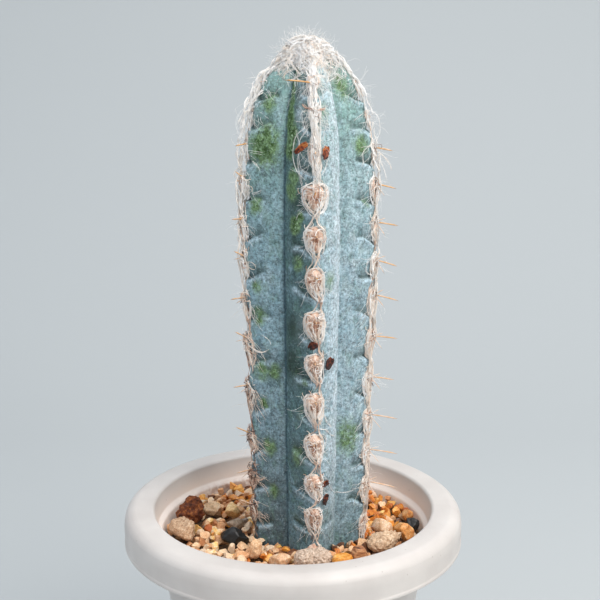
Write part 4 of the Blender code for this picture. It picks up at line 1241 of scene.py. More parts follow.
ramp = add(tree, "ShaderNodeValToRGB", {"Fac": shifted.outputs[0]},
           [(0.0, "#4C3024"), (0.2, "#AE7F68"), (0.4, "#EBC9B3"), (0.6, "#F8E6D6"), (0.8, "#FCF4EB"),
            (1.0, "#FEFDFC")])
tree.links.new(ramp.outputs["Color"], shader.inputs["Base Color"])

# %% [markdown]
# ## The chain of pads down each rib
# Each areole is a domed pad, round above and drawn to a neck below, and the necks run into the next pad
# like beads on a ribbon. Hairs start all over a pad, follow its outline down, gather in the neck and
# part again round the next one. So a place in the chain is a share of the way from one pad's top to the
# next, and one short table says how much of a pad there is at each share.
# %% The chain's outline
PAD_TOP = 2.6 * MM
NECK_HALF = 1.3 * MM
BULGE_HALF = 3.2 * MM
NECK_THICK = 0.7 * MM
BULGE_THICK = 2.0 * MM
CHAIN_SHARES = (-0.12, -0.05, 0.0, 0.06, 0.13, 0.21, 0.33, 0.45, 0.57, 0.69, 0.8, 0.88)
CHAIN_BULGE = (0.0, 0.3, 0.66, 0.88, 0.98, 1.0, 0.84, 0.6, 0.36, 0.16, 0.04, 0.0)
# How full the pads are, from the crown down, and how full and how thick each rib's are
PAD_FULLNESS = np.array((0.4, 0.3, 0.42, 1.3, 1.0, 0.84, 0.95, 0.86, 0.9, 0.82, 0.84, 0.78, 0.74))
RIB_FULLNESS = (1.0, 0.5, 0.8, 0.8, 0.6)
RIB_THICKNESS = (1.0, 0.8, 1.0, 1.0, 1.3)
# How far each rib's chain lies off its crest, high up and low down, and the heights between which it moves
RIB_SHIFTS = ((0, 0), (0.6, -0.6), (0, 0), (0, 0), (-1.5, -0.4))
SHIFT_HEIGHTS = (POT_HEIGHT + 70 * MM, POT_HEIGHT + 115 * MM)
LAST_PAD = AREOLES.shape[1] - 1
APEX_SHARE = -1.5
LAST_NECK = 15 * MM


def chain_height(rib, along):
    """Height at a place along a rib's chain, where 3.5 is halfway from the fourth pad's top to the next."""
    tops = AREOLES[rib] + PAD_TOP
    below = tops[-1] - LAST_NECK
    places = np.concatenate(([APEX_SHARE], np.arange(LAST_PAD + 1), [LAST_PAD + 1]))
    return np.interp(along, places, np.concatenate(([STEM_TOP], tops, [below])))


def bulge(rib, along):
    """How much of a pad there is at a place in the chain: 0 in a neck, up to 1 across a full pad."""
    index = np.clip(np.floor(along - CHAIN_SHARES[0]), 0, LAST_PAD).astype(int)
    return PAD_FULLNESS[index] * RIB_FULLNESS[rib] * np.interp(along - index, CHAIN_SHARES, CHAIN_BULGE)


def chain_width(rib, along):
    return NECK_HALF + BULGE_HALF * bulge(rib, along)


def dome_lift(rib, along, aside):
    """How far the felt stands off the skin at a place in the chain."""
    width = chain_width(rib, along) + 0.4 * MM
    thick = (NECK_THICK + BULGE_THICK * bulge(rib, along) ** 0.7) * RIB_THICKNESS[rib]
    return thick * np.sqrt(np.clip(1 - (aside / width) ** 2, 0.02, 1))


def on_rib(rib, along, aside, lift):
    """Points over a rib's crest: a place along its chain, a distance sideways and a lift."""
    height = chain_height(rib, along)
    around = np.maximum(crest_radius(height), 6 * MM)
    off_crest = np.interp(height, SHIFT_HEIGHTS, RIB_SHIFTS[rib][::-1]) * MM
    return on_column(FRONT_RIB + rib * RIB_ANGLE + (aside + off_crest) / around, height, lift)


# %% Felt under the hairs
FELT_RINGS = 14
FELT_SPOKES = 20
FELT_SHARE = 0.66
# Tints of the felt at its rim and in its middle, which is painted darker as painted shade under the hairs
FELT_TINTS = (0.42, 0.16)
FELT_BLOTCH = 0.07
# How much smaller the felt is where the wool is loose
WORN = 0.35
# One rib's wool is weathered and brown low down
WEATHERED_RIB = 4
WEATHERED_BELOW = POT_HEIGHT + 95 * MM
WEATHERED_SPAN = 60 * MM
WEATHERED_TINT = 0.38
deselect()
bpy.ops.mesh.primitive_uv_sphere_add(segments=FELT_SPOKES, ring_count=FELT_RINGS, radius=1)
felt_model = named("felt_model")
edit(felt_model)
bpy.ops.transform.vertex_random(offset=0.06, uniform=1.0, seed=4)
leave_edit()
felt_shape = positions(felt_model)
felt_rng = random.Random(3)


def youth(index):
    """1 at the top areoles, where the wool is fresh and white, falling to 0 by the sixth."""
    return max(0.0, 1 - index / 5)


def weathered(points):
    """How much darker each point of the wool has turned with age."""
    return WEATHERED_TINT * np.clip((WEATHERED_BELOW - points[:, 2]) / WEATHERED_SPAN, 0, 1)


def felt_pads(rib, lean):
    """Low mounds of matted felt, one under each areole's hairs, painted darkest in its middle as painted
    shade.
    """
    pads = []
    for index in range(LAST_PAD + 1):
        along = index + 0.28 - felt_shape[:, 1] * 0.34
        worn = WORN * youth(index) if rib != WEATHERED_RIB else WORN
        aside = felt_shape[:, 0] * chain_width(rib, along) * 0.86 * (1 - worn)
        high = np.clip(felt_shape[:, 2], -0.15, 1)
        lift = high * FELT_SHARE * dome_lift(rib, along, 0) * (1 - worn)
        pad = copy_of(felt_model, Matrix.Identity(4))
        move_points(pad, on_rib(rib, along, aside + lean(along), lift))
        middle = np.exp(-(felt_shape[:, 0] / 0.6) ** 2 - ((felt_shape[:, 1] + 0.1) / 0.5) ** 2)
        blotch = np.array([felt_rng.gauss(0, FELT_BLOTCH) for _ in felt_shape])
        tint = FELT_TINTS[0] + (FELT_TINTS[1] - FELT_TINTS[0]) * middle + blotch
        if rib == WEATHERED_RIB:
            tint = tint - weathered(positions(pad))
        store(pad, "tint", tint)
        pads.append(pad)
    return pads


# %% [markdown]
# Several kinds of hair make an areole. Combed ones start in its middle, arch out over the rim and run down
# into the neck. Gathered ones go on, parted, round the next pad, light ones trace the outline, short
# curled pinkish ones and dark stubs fill the middle, and wisps lie out over the skin. The upper pads are
# young, so they also carry locks of long white tresses that run down over their neighbours. Wool clings
# together, so most hairs share a lock's path and stray from it a little. Every hair is drawn from one
# seeded stream, so each run gives the same plant.
# %% Hairs of one rib
HAIR_POINTS = 9
LOCK_STRANDS = 3
# Share of the full count of hairs on each rib
RIB_SHARES = (1.0, 0.8, 0.55, 0.55, 0.9)
# How far, in millimetres, the neck below each pad leans sideways, rib by rib
LEANS = (
    (-0.4, 0.6, 1.2, 0.3, 0.7, 1.8, 1.2, 1.9, 1.0, 1.6, 1.8, 0.8, 0),
    (0, 0.3, -0.5, 0.4, 0.6, -0.4, 0.3, -0.6, 0.5, 0.2, -0.4, 0.3, 0),
    (0.3, -0.4, 0.5, -0.8, 0.6, 0.9, -0.6, 0.8, -0.9, 0.4, 0.6, -0.4, 0),
    (-0.2, 0.5, -0.6, 0.7, -0.9, 0.5, 0.8, -0.5, 0.9, -0.6, 0.5, 0.3, 0),
    (0.2, -0.5, 0.8, -0.4, 0.7, -0.8, 0.4, 0.9, -0.6, 0.5, -0.5, 0.4, 0),
)


def lean_of(rib):
    """The sideways drift of a rib's chain, as a function of the place along it."""
    amounts = np.array(LEANS[rib] + (0,)) * MM

    def lean(along):
        index = np.clip(np.floor(along), 0, LAST_PAD).astype(int)
        share = np.clip(along, 0, LAST_PAD + 0.99) % 1
        return amounts[index] * np.exp(-((share - 0.72) / 0.24) ** 2)
    return lean


def waver(rng, count, size):
    """A gentle seeded wobble along a hair."""
    share = np.linspace(0, 1, count)
    total = np.zeros(count)
    for turns in (1, 2, 3.5):
        total += rng.uniform(-1, 1) / turns * np.sin(2 * math.pi * turns * share + rng.uniform(0, 6.3))
    return total * size


# The middle of a pad and its reach above and below it, as shares of the way to the next pad
COMB_MIDDLE = 0.2
COMB_UP = 0.26
COMB_DOWN = 0.56


def combed_hairs(rib, index, lean, rng, count):
    """Locks that start in the middle of the pad, arch out over its rim and run down into the neck."""
    hairs = []
    half = NECK_HALF + BULGE_HALF * PAD_FULLNESS[index] * RIB_FULLNESS[rib]
    share = np.linspace(0, 1, HAIR_POINTS)
    for _ in range(count):
        first = rng.uniform(-math.pi, math.pi)
        turn = first + (math.copysign(math.pi, first) - first) * rng.uniform(0.6, 1.0) * share ** 1.5
        start = rng.uniform(0.05, 0.7)
        out = start + (rng.uniform(0.55, 1.04) - start) * np.clip(share * 2.4, 0, 1)
        reach = np.where(np.cos(turn) > 0, COMB_UP, COMB_DOWN)
        path = half * out * np.sin(turn) + waver(rng, HAIR_POINTS, 0.35 * MM)
        rise = rng.uniform(-0.2, 0.8) * MM * (1 - share * 0.6)
        shade = rng.gauss(0.74 + 0.14 * youth(index), 0.22)
        shade = shade - 0.3 * np.exp(-(share / 0.14) ** 2) + 0.2 * share
        for _ in range(LOCK_STRANDS):
            along = index + COMB_MIDDLE - out * np.cos(turn) * reach + rng.gauss(0, 0.008)
            aside = path + rng.gauss(0, 0.13) * MM + waver(rng, HAIR_POINTS, 0.1 * MM)
            lift = dome_lift(rib, along, aside) + rise + rng.gauss(0, 0.1) * MM
            points = on_rib(rib, along, aside + lean(along), np.maximum(lift, 0.15 * MM))
            hairs.append((points, rng.uniform(0.08, 0.14) * MM, shade + rng.gauss(0, 0.05)))
    return hairs


def gathered_hairs(rib, index, lean, rng, count):
    """Locks that follow the pad's outline down into its neck, cross there and part round the next pad."""
    hairs = []
    for _ in range(count):
        edge = rng.uniform(-1, 1)
        other = rng.uniform(-1.2, 1.2)
        stop = index + (rng.uniform(1.08, 1.3) if rng.random() < 0.45 else rng.uniform(0.7, 0.95))
        along = np.linspace(index + rng.uniform(0.02, 0.42), stop, HAIR_POINTS)
        crossing = np.clip((along - index - 0.55) / 0.3, 0, 1)
        parted = np.clip((along - index - 0.88) / 0.15, 0, 1)
        side = edge + (other - edge) * crossing
        side = side + (math.copysign(rng.uniform(0.78, 1.04), other) - other) * parted
        path = side * chain_width(rib, along) * 0.98 + waver(rng, HAIR_POINTS, 0.3 * MM)
        in_neck = np.exp(-((along - index - 0.78) / 0.16) ** 2)
        shade = rng.gauss(0.72 + 0.16 * youth(index), 0.14) - 0.3 * in_neck * (1 - youth(index))
        rise = rng.uniform(-0.3, 0.5) * MM
        for _ in range(LOCK_STRANDS):
            aside = path + rng.gauss(0, 0.14) * MM + waver(rng, HAIR_POINTS, 0.12 * MM)
            lift = dome_lift(rib, along, aside) + rise + np.abs(waver(rng, HAIR_POINTS, 0.15 * MM))
            points = on_rib(rib, along, aside + lean(along), np.maximum(lift, 0.15 * MM))
            hairs.append((points, rng.uniform(0.08, 0.14) * MM * (1 - 0.4 * in_neck), shade))
    return hairs


def outline_hairs(rib, index, lean, rng, count):
    """Light hairs that sweep round the pad's rim, from its top to the neck."""
    hairs = []
    half = NECK_HALF + BULGE_HALF * PAD_FULLNESS[index] * RIB_FULLNESS[rib]
    share = np.linspace(0, 1, HAIR_POINTS)
    for _ in range(count):
        turn = rng.choice((-1, 1)) * (rng.uniform(-0.3, 0.9) + share * rng.uniform(1.2, 2.4))
        out = rng.uniform(0.88, 1.06) * (1 - 0.12 * share)
        reach = np.where(np.cos(turn) > 0, COMB_UP, COMB_DOWN)
        along = index + COMB_MIDDLE - out * np.cos(turn) * reach
        aside = half * out * np.sin(turn) + waver(rng, HAIR_POINTS, 0.14 * MM)
        lift = rng.uniform(0.3, 1.5) * MM + waver(rng, HAIR_POINTS, 0.12 * MM)
        points = on_rib(rib, along, aside + lean(along), np.maximum(lift, 0.15 * MM))
        hairs.append((points, rng.uniform(0.08, 0.15) * MM, rng.gauss(0.86, 0.07)))
    return hairs


# How large the curls are on each rib
CURL_SIZES = (1.0, 1.0, 1.0, 1.0, 1.7)
AREOLE_SPACING = 16 * MM


def curled_hairs(rib, index, rng, count):
    """Short curls that lie every way over the middle of the pad."""
    hairs = []
    for _ in range(count):
        middle = index + rng.uniform(-0.02, 0.36)
        offset = rng.uniform(-0.9, 0.9) * float(chain_width(rib, np.array(middle)))
        turn = rng.uniform(0, 6.3) + np.linspace(0, rng.uniform(1.0, 3.2) * rng.choice((-1, 1)), 7)
        radius = rng.uniform(0.5, 1.4) * MM * CURL_SIZES[rib]
        aside = offset + radius * (np.cos(turn) - np.cos(turn[0]))
        along = middle + radius * (np.sin(turn) - np.sin(turn[0])) / AREOLE_SPACING
        lift = dome_lift(rib, along, aside) + rng.uniform(0.1, 1.0) * MM
        tint = rng.gauss(0.62 + 0.26 * youth(index), 0.2)
        hairs.append((on_rib(rib, along, aside, lift), rng.uniform(0.09, 0.17) * MM, tint))
    return hairs


def stub_hairs(rib, index, rng, count):
    """Dark stiff stubs that stand out of the pad."""
    hairs = []
    for _ in range(count):
        along = np.full(4, index + rng.uniform(0.02, 0.3)) + np.linspace(0, rng.uniform(-0.08, 0.12), 4)
        aside = rng.uniform(-0.7, 0.7) * chain_width(rib, along)
        aside = aside + np.linspace(0, rng.uniform(-1.3, 1.3) * MM, 4)
        lift = dome_lift(rib, along, aside) - 0.4 * MM + np.linspace(0, rng.uniform(0.8, 2.0) * MM, 4)
        hairs.append((on_rib(rib, along, aside, lift), rng.uniform(0.12, 0.2) * MM, rng.gauss(0.24, 0.14)))
    return hairs


def wisp_hairs(rib, index, rng, count):
    """Fine white hairs that droop from the pad's sides over the skin."""
    hairs = []
    for _ in range(count):
        hand = rng.choice((-1, 1))
        along = index + rng.uniform(0.0, 0.5) + np.linspace(0, rng.uniform(-0.1, 0.6), HAIR_POINTS)
        out = np.linspace(0, rng.uniform(1.5, 6.5) * MM, HAIR_POINTS)
        aside = hand * (1.8 * MM + out) + waver(rng, HAIR_POINTS, 0.7 * MM)
        lift = np.linspace(1.2 * MM, 0.3 * MM, HAIR_POINTS) + np.abs(waver(rng, HAIR_POINTS, 0.5 * MM))
        radius = rng.uniform(0.035, 0.065) * MM
        hairs.append((on_rib(rib, along, aside, lift), radius, rng.gauss(0.92, 0.06)))
    return hairs


def stray_hairs(rib, index, rng, count):
    """Fine wandering hairs that stand clear of the plant."""
    hairs = []
    for _ in range(count):
        start = np.array([index + rng.uniform(0, 0.5)])
        root = on_rib(rib, start, np.array([rng.uniform(-2.5, 2.5) * MM]), 1.2 * MM)[0]
        azimuth = FRONT_RIB + rib * RIB_ANGLE + rng.uniform(-1.3, 1.3)
        tilt = rng.uniform(-1.1, 0.9)
        hairs.append(stray_hair(root, direction(azimuth, tilt), rng.uniform(2.5, 8.5) * MM, rng))
    return hairs


def stray_hair(root, way, length, rng):
    """One fine hair that curls more the further it reaches."""
    share = np.linspace(0, 1, HAIR_POINTS)[:, None]
    side = np.cross(way, (rng.uniform(-1, 1), rng.uniform(-1, 1), rng.uniform(-1, 1)))
    side /= np.linalg.norm(side) + 1e-9
    other = np.cross(way, side)
    curl = length * rng.uniform(0.15, 0.45)
    turn = share * rng.uniform(1, 4.5) + rng.uniform(0, 6.3)
    points = root + way * share * length
    points = points + side * curl * share * (np.sin(turn) - math.sin(turn[0, 0]))
    points = points + other * curl * share * (np.cos(turn) - math.cos(turn[0, 0]))
    points[:, 2] -= (share[:, 0] ** 2) * length * rng.uniform(0, 0.3)
    return points, rng.uniform(0.022, 0.042) * MM, rng.gauss(0.92, 0.06)


# Where on each rib the long tresses start, as places along its chain, how many locks of them there are,
# and how far they stand out
TRESS_STARTS = ((-1.3, 1.9), (-1.3, 11.5), (-1.3, 5), (-1.3, 5), (-1.3, 5))
TRESS_LOCKS = (34, 58, 26, 26, 66)
TRESS_STANDS = (0.65, 1.1, 1.2, 1.2, 1.9)
TRESS_STRANDS = 6
TRESS_PLACES = (-1.4, -0.4, 0.6, 2, 4, 12)
TRESS_WIDTHS = (1.6, 2.0, 1.9, 1.7, 1.3, 1.0)
TRESS_LIFTS = (0.9, 1.2, 2.0, 2.2, 1.4, 1.1)
TRESS_POINTS = 13


def tress_hairs(rib, rng):
    """Long light hairs from the crown down over the young areoles, in wavy locks."""
    hairs = []
    low, high = TRESS_STARTS[rib]
    for _ in range(TRESS_LOCKS[rib]):
        start = low + (high - low) * rng.random() ** 1.3
        along = np.linspace(start, start + rng.uniform(0.8, 1.9), TRESS_POINTS)
        wide = np.interp(along, TRESS_PLACES, TRESS_WIDTHS) * MM
        path = rng.uniform(-1, 1) * wide + waver(rng, TRESS_POINTS, 1.0 * MM)
        rise = np.interp(along, TRESS_PLACES, TRESS_LIFTS) * MM * rng.uniform(0.4, 1.3) * TRESS_STANDS[rib]
        rise = rise + bulge(rib, along) * 0.9 * MM + waver(rng, TRESS_POINTS, 0.7 * MM) * TRESS_STANDS[rib]
        for _ in range(TRESS_STRANDS):
            aside = path + waver(rng, TRESS_POINTS, 0.3 * MM) + rng.gauss(0, 0.2) * MM
            lift = np.maximum(rise + waver(rng, TRESS_POINTS, 0.25 * MM), 0.2 * MM)
            tint = rng.gauss(0.92 - 0.03 * min(start, 8), 0.07)
            hairs.append((on_rib(rib, along, aside, lift), rng.uniform(0.05, 0.11) * MM, tint))
    return hairs


# %% [markdown]
# Some locks lie so plainly that they are given one by one: loops that fell over the skin, hairs that
# stretch from one areole out across a face, and a few that stand off the outline. Each is a smooth curve
# through a few places.
# %% Locks given one by one
# Rib, areole, thickness in mm, hairs in the lock, tint, and places as sideways, upward and outward
# millimetres from it
LOCKS = (
    (0, 3, 0.06, 5, 0.95,
     ((3.2, 2.4, 1.6), (5.6, 0.4, 0.9), (5.8, -3.2, 0.6), (4.6, -6.4, 0.6), (2.4, -9, 0.8))),
    (0, 3, 0.05, 3, 0.9, ((-3, 1, 1.6), (-5, -1.5, 0.6), (-4.4, -5, 0.5), (-1.6, -8, 0.9))),
    (0, 2, 0.045, 3, 0.95, ((-3, 7, 1.2), (-6.2, 3, 0.7), (-6.4, -2, 0.5), (-5, -7, 0.5), (-1, -9.5, 0.9))),
    (0, 2, 0.045, 3, 0.9, ((-2, 9, 1.4), (-8, 5, 0.6), (-9.5, -1, 0.5), (-7.5, -7, 0.5), (-3, -11, 0.9))),
    (0, 2, 0.05, 2, 0.9, ((-1, 3, 2), (-5, 2, 1), (-5.6, -1, 0.8), (-3, -3.4, 1.4), (0, -5, 2))),
    (0, 2, 0.04, 3, 0.9, ((-8, 8, 0.5), (-6, 1, 0.5), (-7, -5, 0.4), (-5, -13, 0.5), (-2, -16, 1.2))),
    (0, 2, 0.05, 3, 0.9, ((3, 3, 1.6), (5.5, -1, 0.8), (4.5, -6, 0.6), (2, -9, 1.2))),
    (0, 1, 0.045, 3, 0.95, ((-2, 2, 1.4), (-5, -1, 0.6), (-4, -5, 0.5), (-2, -9, 1))),
    (0, 1, 0.045, 3, 0.9, ((3, 1, 1.4), (5.4, -3, 0.7), (4, -8, 0.6), (2.4, -12, 1))),
    (0, 9, 0.06, 4, 0.9, ((1, 6, 1.4), (5, 4, 0.7), (8, 1.5, 0.5), (12, -0.5, 0.5))),
    (0, 9, 0.05, 4, 0.9, ((2.2, 3, 1.4), (4.6, 2, 0.7), (5.6, -1, 0.5), (4, -3.4, 0.6), (1.8, -3, 1))),
    (0, 10, 0.05, 3, 0.9, ((2, 2, 1.4), (5.5, 0.5, 0.6), (10, -6.5, 0.5), (16, -9, 0.5), (24, -8.4, 0.5))),
    (0, 8, 0.06, 4, 0.95, ((2.2, -3, 1.6), (4, -6, 0.7), (6, -10, 0.5), (9, -13, 0.5))),
    (4, 3, 0.055, 4, 0.95, ((2.4, 8, 1.4), (5, 5.4, 0.7), (6.4, 1, 0.5), (5.8, -3.4, 0.5), (2, -5.4, 1))),
    (4, 7, 0.13, 6, 0.95,
     ((-0.5, 3, 2.4), (-0.3, 0, 2.2), (1.5, -3, 1.4), (4.5, -4.8, 0.8), (7.5, -4, 0.6))),
    (4, 7, 0.08, 2, 0.9, ((3, 2, 1.2), (6.5, 2.4, 0.6), (9.5, 0, 0.5), (9, -3, 0.5), (6, -4.6, 0.6))),
    (0, 1, 0.09, 5, 0.3, ((-0.8, 0.4, 2.4), (-2.6, 1.2, 1.9), (-4.6, 2.4, 1.2))),
    (0, 1, 0.09, 5, 0.3, ((1, 0.2, 2.4), (2.6, 0.6, 1.9), (4.6, 0.8, 1.2))),
    (4, 10, 0.1, 5, 0.8, ((1, 3, 1.4), (4.6, 1.6, 0.7), (5, -2.4, 0.5), (2, -4.2, 0.7), (-0.6, -2, 1.4))),
    (4, 1, 0.04, 2, 0.9, ((0, 1, 2), (-0.5, 0, 5), (0, -5, 7.5), (0.5, -9, 5.5), (0, -11, 2))),
    (4, 3, 0.04, 3, 0.9, ((0, 3, 2), (0.5, 1, 5), (1, -3, 5.5), (0.5, -6, 2.5))),
    (1, 2, 0.05, 3, 0.9, ((-1, 2, 1.4), (-4, 0, 0.7), (-5.5, -2.5, 0.5), (-5, -7, 0.5))),
    (1, 5, 0.05, 3, 0.9, ((-1, 2, 1.4), (-3.5, 0, 0.7), (-4, -4, 0.5), (-1, -6, 1))),
    (1, 2, 0.05, 5, 0.8, ((0, -1, 1.6), (0, -3, 4), (0.5, -6, 6.5), (1, -9, 7.5))),
    (1, 2, 0.045, 4, 0.9, ((0, -3, 1.6), (0, -6, 3.6), (0.5, -10, 5), (1, -13, 5.4))),
    (1, 2, 0.12, 1, 0.15, ((0, 0.4, 1.8), (0, 1.4, 3.2), (0.4, 0.4, 4.2), (0.2, -0.8, 3.2), (0, 0, 2.6))),
    (1, 1, 0.045, 3, 0.95, ((0, 2, 1.6), (0, -1, 4.4), (0, -6, 4.4), (0, -10, 2))),
)
LOCK_POINTS = 15


def through(places, count):
    """Points along a smooth curve through a few places."""
    ends = np.concatenate(([2 * places[0] - places[1]], places, [2 * places[-1] - places[-2]]))
    spans = np.linspace(0, len(places) - 1 - 1e-6, count)
    first = spans.astype(int)
    part = (spans - first)[:, None]
    a, b, c, d = (ends[first + step] for step in range(4))
    return 0.5 * (2 * b + (c - a) * part + (2 * a - 5 * b + 4 * c - d) * part ** 2
                  + (3 * b - a - 3 * c + d) * part ** 3)


def placed_locks(rib, rng):
    hairs = []
    for lock_rib, index, radius, strands, tint, places in LOCKS:
        if lock_rib != rib:
            continue
        for _ in range(strands):
            curve = through(np.array(places) * MM, LOCK_POINTS)
            aside = curve[:, 0] + waver(rng, LOCK_POINTS, 0.5 * MM)
            height = AREOLES[rib, index] + curve[:, 1] + waver(rng, LOCK_POINTS, 0.5 * MM)
            height = np.minimum(height, STEM_TOP)
            lift = np.maximum(curve[:, 2] + waver(rng, LOCK_POINTS, 0.25 * MM), 0.2 * MM)
            azimuth = FRONT_RIB + rib * RIB_ANGLE + aside / crest_radius(height)
            thick = radius * MM * rng.uniform(0.9, 1.3)
            hairs.append((on_column(azimuth, height, lift), thick, rng.gauss(tint, 0.06)))
    return hairs


# %% Grow the wool on the ribs
WOOL_SEED = 40
# Kind of hair and how many of it, or of its locks, an areole of the front rib has
COMBED = 22
GATHERED = 10
OUTLINED = 22
CURLED = 34
STUBS = 12
WISPS = 10
STRAYS = 16
# How much of the pad hair is missing where the wool is loose: on young areoles, and on the old ones of
# the weathered rib, which have more wisps instead
LOOSE = 0.55
OLD_SHARE = 0.6
OLD_FROM = 7
TUFTS = 2
TUFTED_FROM = 6


for rib, rib_name in enumerate(RIB_NAMES):
    rng = random.Random(WOOL_SEED + rib)
    share = RIB_SHARES[rib]
    lean = lean_of(rib)
    hairs = tress_hairs(rib, rng) + placed_locks(rib, rng)
    for index in range(LAST_PAD + 1):
        if chain_height(rib, index + 0.5) < POT_HEIGHT - 13 * MM:
            continue
        full = share * (0.5 + 0.5 * PAD_FULLNESS[index])
        thinned = OLD_SHARE if rib == WEATHERED_RIB and index >= OLD_FROM else youth(index)
        held = full * (1 - LOOSE * thinned)
        hairs += combed_hairs(rib, index, lean, rng, int(COMBED * held))
        hairs += gathered_hairs(rib, index, lean, rng, int(GATHERED * held))
        hairs += outline_hairs(rib, index, lean, rng, int(OUTLINED * held))
        hairs += curled_hairs(rib, index, rng, int(CURLED * full * (1 - 0.6 * youth(index))))
        hairs += stub_hairs(rib, index, rng, int(STUBS * full))
        tufted = TUFTS if rib == WEATHERED_RIB and index >= TUFTED_FROM else youth(index)
        hairs += wisp_hairs(rib, index, rng, int(WISPS * share * (1 + tufted)))
        hairs += stray_hairs(rib, index, rng, int(STRAYS * share * (1 + 2 * youth(index))))
    if rib == WEATHERED_RIB:
        hairs = [(points, radius, tint - weathered(points)) for points, radius, tint in hairs]
    piece = hairs_to_mesh(f"rib_wool_{rib_name}", hairs, wool)
    finish_piece(piece, "cream_wool", f"wool_rib_{rib_name}")
    felt = join(f"rib_felt_{rib_name}", felt_pads(rib, lean), wool)
    smooth(felt)
    finish_piece(felt, "cream_wool")
bpy.data.objects.remove(felt_model, do_unlink=True)

# %% [markdown]
# ## The crown
# New areoles crowd together at the growing tip, so their wool melts into one white cap that leans a little
# to the left. A felted dome fills it, very fine hairs cross each other over it every way, and the finest
# stand up all round.
# %% Crown felt
CROWN_REACH = 0.37
CROWN_THICK = 3.2 * MM
CROWN_LEAN = -1.6 * MM
CROWN_SPREAD = 0.5
CAP_SHARE = 0.32
CAP_SINK = 0.6 * MM
# The felt is tinted a little darker than the hairs over it, as painted shade under them
CAP_TINT = 0.6


def on_dome(azimuth, polar, lift):
    """Points over the growing tip, by the angle from its top."""
    height = STEM_TOP - DOME_LENGTH * (1 - np.cos(polar))
    points = on_column(azimuth, height, lift)
    points[..., 0] += CROWN_LEAN * np.exp(-(polar / CROWN_SPREAD) ** 2)
    return points


def crown_lift(polar):
    """Thickness of the crown's wool at an angle from its top."""
    return CROWN_THICK * np.clip(1 - (polar / (CROWN_REACH + 0.33)) ** 2, 0.08, 1)


deselect()
bpy.ops.mesh.primitive_uv_sphere_add(segments=60, ring_count=40, radius=1)
cap = named("crown_felt")
unit_cap = positions(cap)
cap_polar = np.arccos(np.clip(unit_cap[:, 2], -1, 1)) / math.pi * CROWN_REACH * 2
cap_azimuth = np.arctan2(unit_cap[:, 0], -unit_cap[:, 1])
under = cap_polar > CROWN_REACH
domed = crown_lift(cap_polar) * CAP_SHARE * (1 - (cap_polar / CROWN_REACH) ** 4) + 0.05 * MM
cap_lift = np.where(under, -CAP_SINK, domed)
cap_polar = np.where(under, 2 * CROWN_REACH - cap_polar, cap_polar)
move_points(cap, on_dome(cap_azimuth, np.maximum(cap_polar, 0.004), cap_lift))
store(cap, "tint", np.full(len(unit_cap), CAP_TINT))
cap.data.materials.append(wool)
smooth(cap)
finish_piece(cap, "white_wool")

# %% Crown hairs
CROWN_LOCKS = 540
CROWN_STRANDS = 4
CROWN_STRAYS = 680
CROWN_POINTS = 8
# How fine the crown's strays are beside the other stray hairs
FINEST = 0.75
rng = random.Random(7)
hairs = []
for _ in range(CROWN_LOCKS):
    start = rng.random() ** 0.8 * 0.5
    polar = np.linspace(start, start + rng.uniform(-0.1, 0.4), CROWN_POINTS) + waver(rng, CROWN_POINTS, 0.05)
    azimuth = rng.uniform(0, 6.3) + np.linspace(0, rng.gauss(0, 0.25) / (start + 0.15), CROWN_POINTS)
    azimuth = azimuth + waver(rng, CROWN_POINTS, 0.25)
    lift = crown_lift(polar) * rng.uniform(0.3, 1.1) + np.abs(waver(rng, CROWN_POINTS, 0.5 * MM))
    shade = rng.gauss(0.93, 0.16)
    for _ in range(CROWN_STRANDS):
        fanned = azimuth + rng.gauss(0, 0.03) / (start + 0.1) + waver(rng, CROWN_POINTS, 0.05)
        risen = lift + rng.gauss(0, 0.12) * MM + np.abs(waver(rng, CROWN_POINTS, 0.2 * MM))
        points = on_dome(fanned, np.abs(polar + rng.gauss(0, 0.008)) + 0.004, np.maximum(risen, 0.1 * MM))
        hairs.append((points, rng.uniform(0.055, 0.11) * MM, shade + rng.gauss(0, 0.12)))
for _ in range(CROWN_STRAYS):
    polar = rng.uniform(0, 0.95)
    azimuth = rng.uniform(0, 6.3)
    root = on_dome(np.array([azimuth]), np.array([polar + 0.01]), np.array([crown_lift(polar) * 0.7]))[0]
    turn = azimuth + rng.uniform(-1.6, 1.6)
    tilt = math.pi / 2 - polar * 1.2 + rng.uniform(-1.5, 0.5)
    points, radius, tint = stray_hair(root, direction(turn, tilt), rng.uniform(2, 7) * MM, rng)
    hairs.append((points, radius * FINEST, tint))
crown = hairs_to_mesh("crown_wool_hairs", hairs, wool)
finish_piece(crown, "white_wool", "crown_wool")

# %% [markdown]
# ## Spines
# Honey-coloured spines poke out of the areoles, short at the top and up to a centimetre long below. A
# spine is a bevelled curve too, stiff and blunt. The youngest areoles have none yet, the older ones have
# a stout spine and one or two thin pale ones, and those of the front rib have nearly all broken off.
# %% Spines
SPINE_SEED = 50
SPINE_RADII = (0.27 * MM, 0.14 * MM)
# How far each spine of an areole points sideways and up, in degrees, and its share of the length
SPINES = ((4, -6, 1.0), (-24, -44, 0.55), (30, 16, 0.25))
# One spine of the front rib, near its top, is whole and points across the face, many times as long as
# the broken ones
CROSSWISE = (0, 0)
CROSSWISE_SPINE = (-80, 14, 19.0)
SPINE_LENGTHS = (4.5 * MM, 10.5 * MM)
SPINE_SHARES = (0.1, 1.0, 1.0, 1.0, 0.62)
# How far each rib's spines point up, in degrees, on its even and its odd areoles
SPINE_TILTS = ((0, 0), (0, 0), (0, 0), (0, 0), (8, 40))
SPINE_ROOT = 1.0 * MM
SPINE_HIDDEN = 2.8 * MM
SPINE_SAG = 6
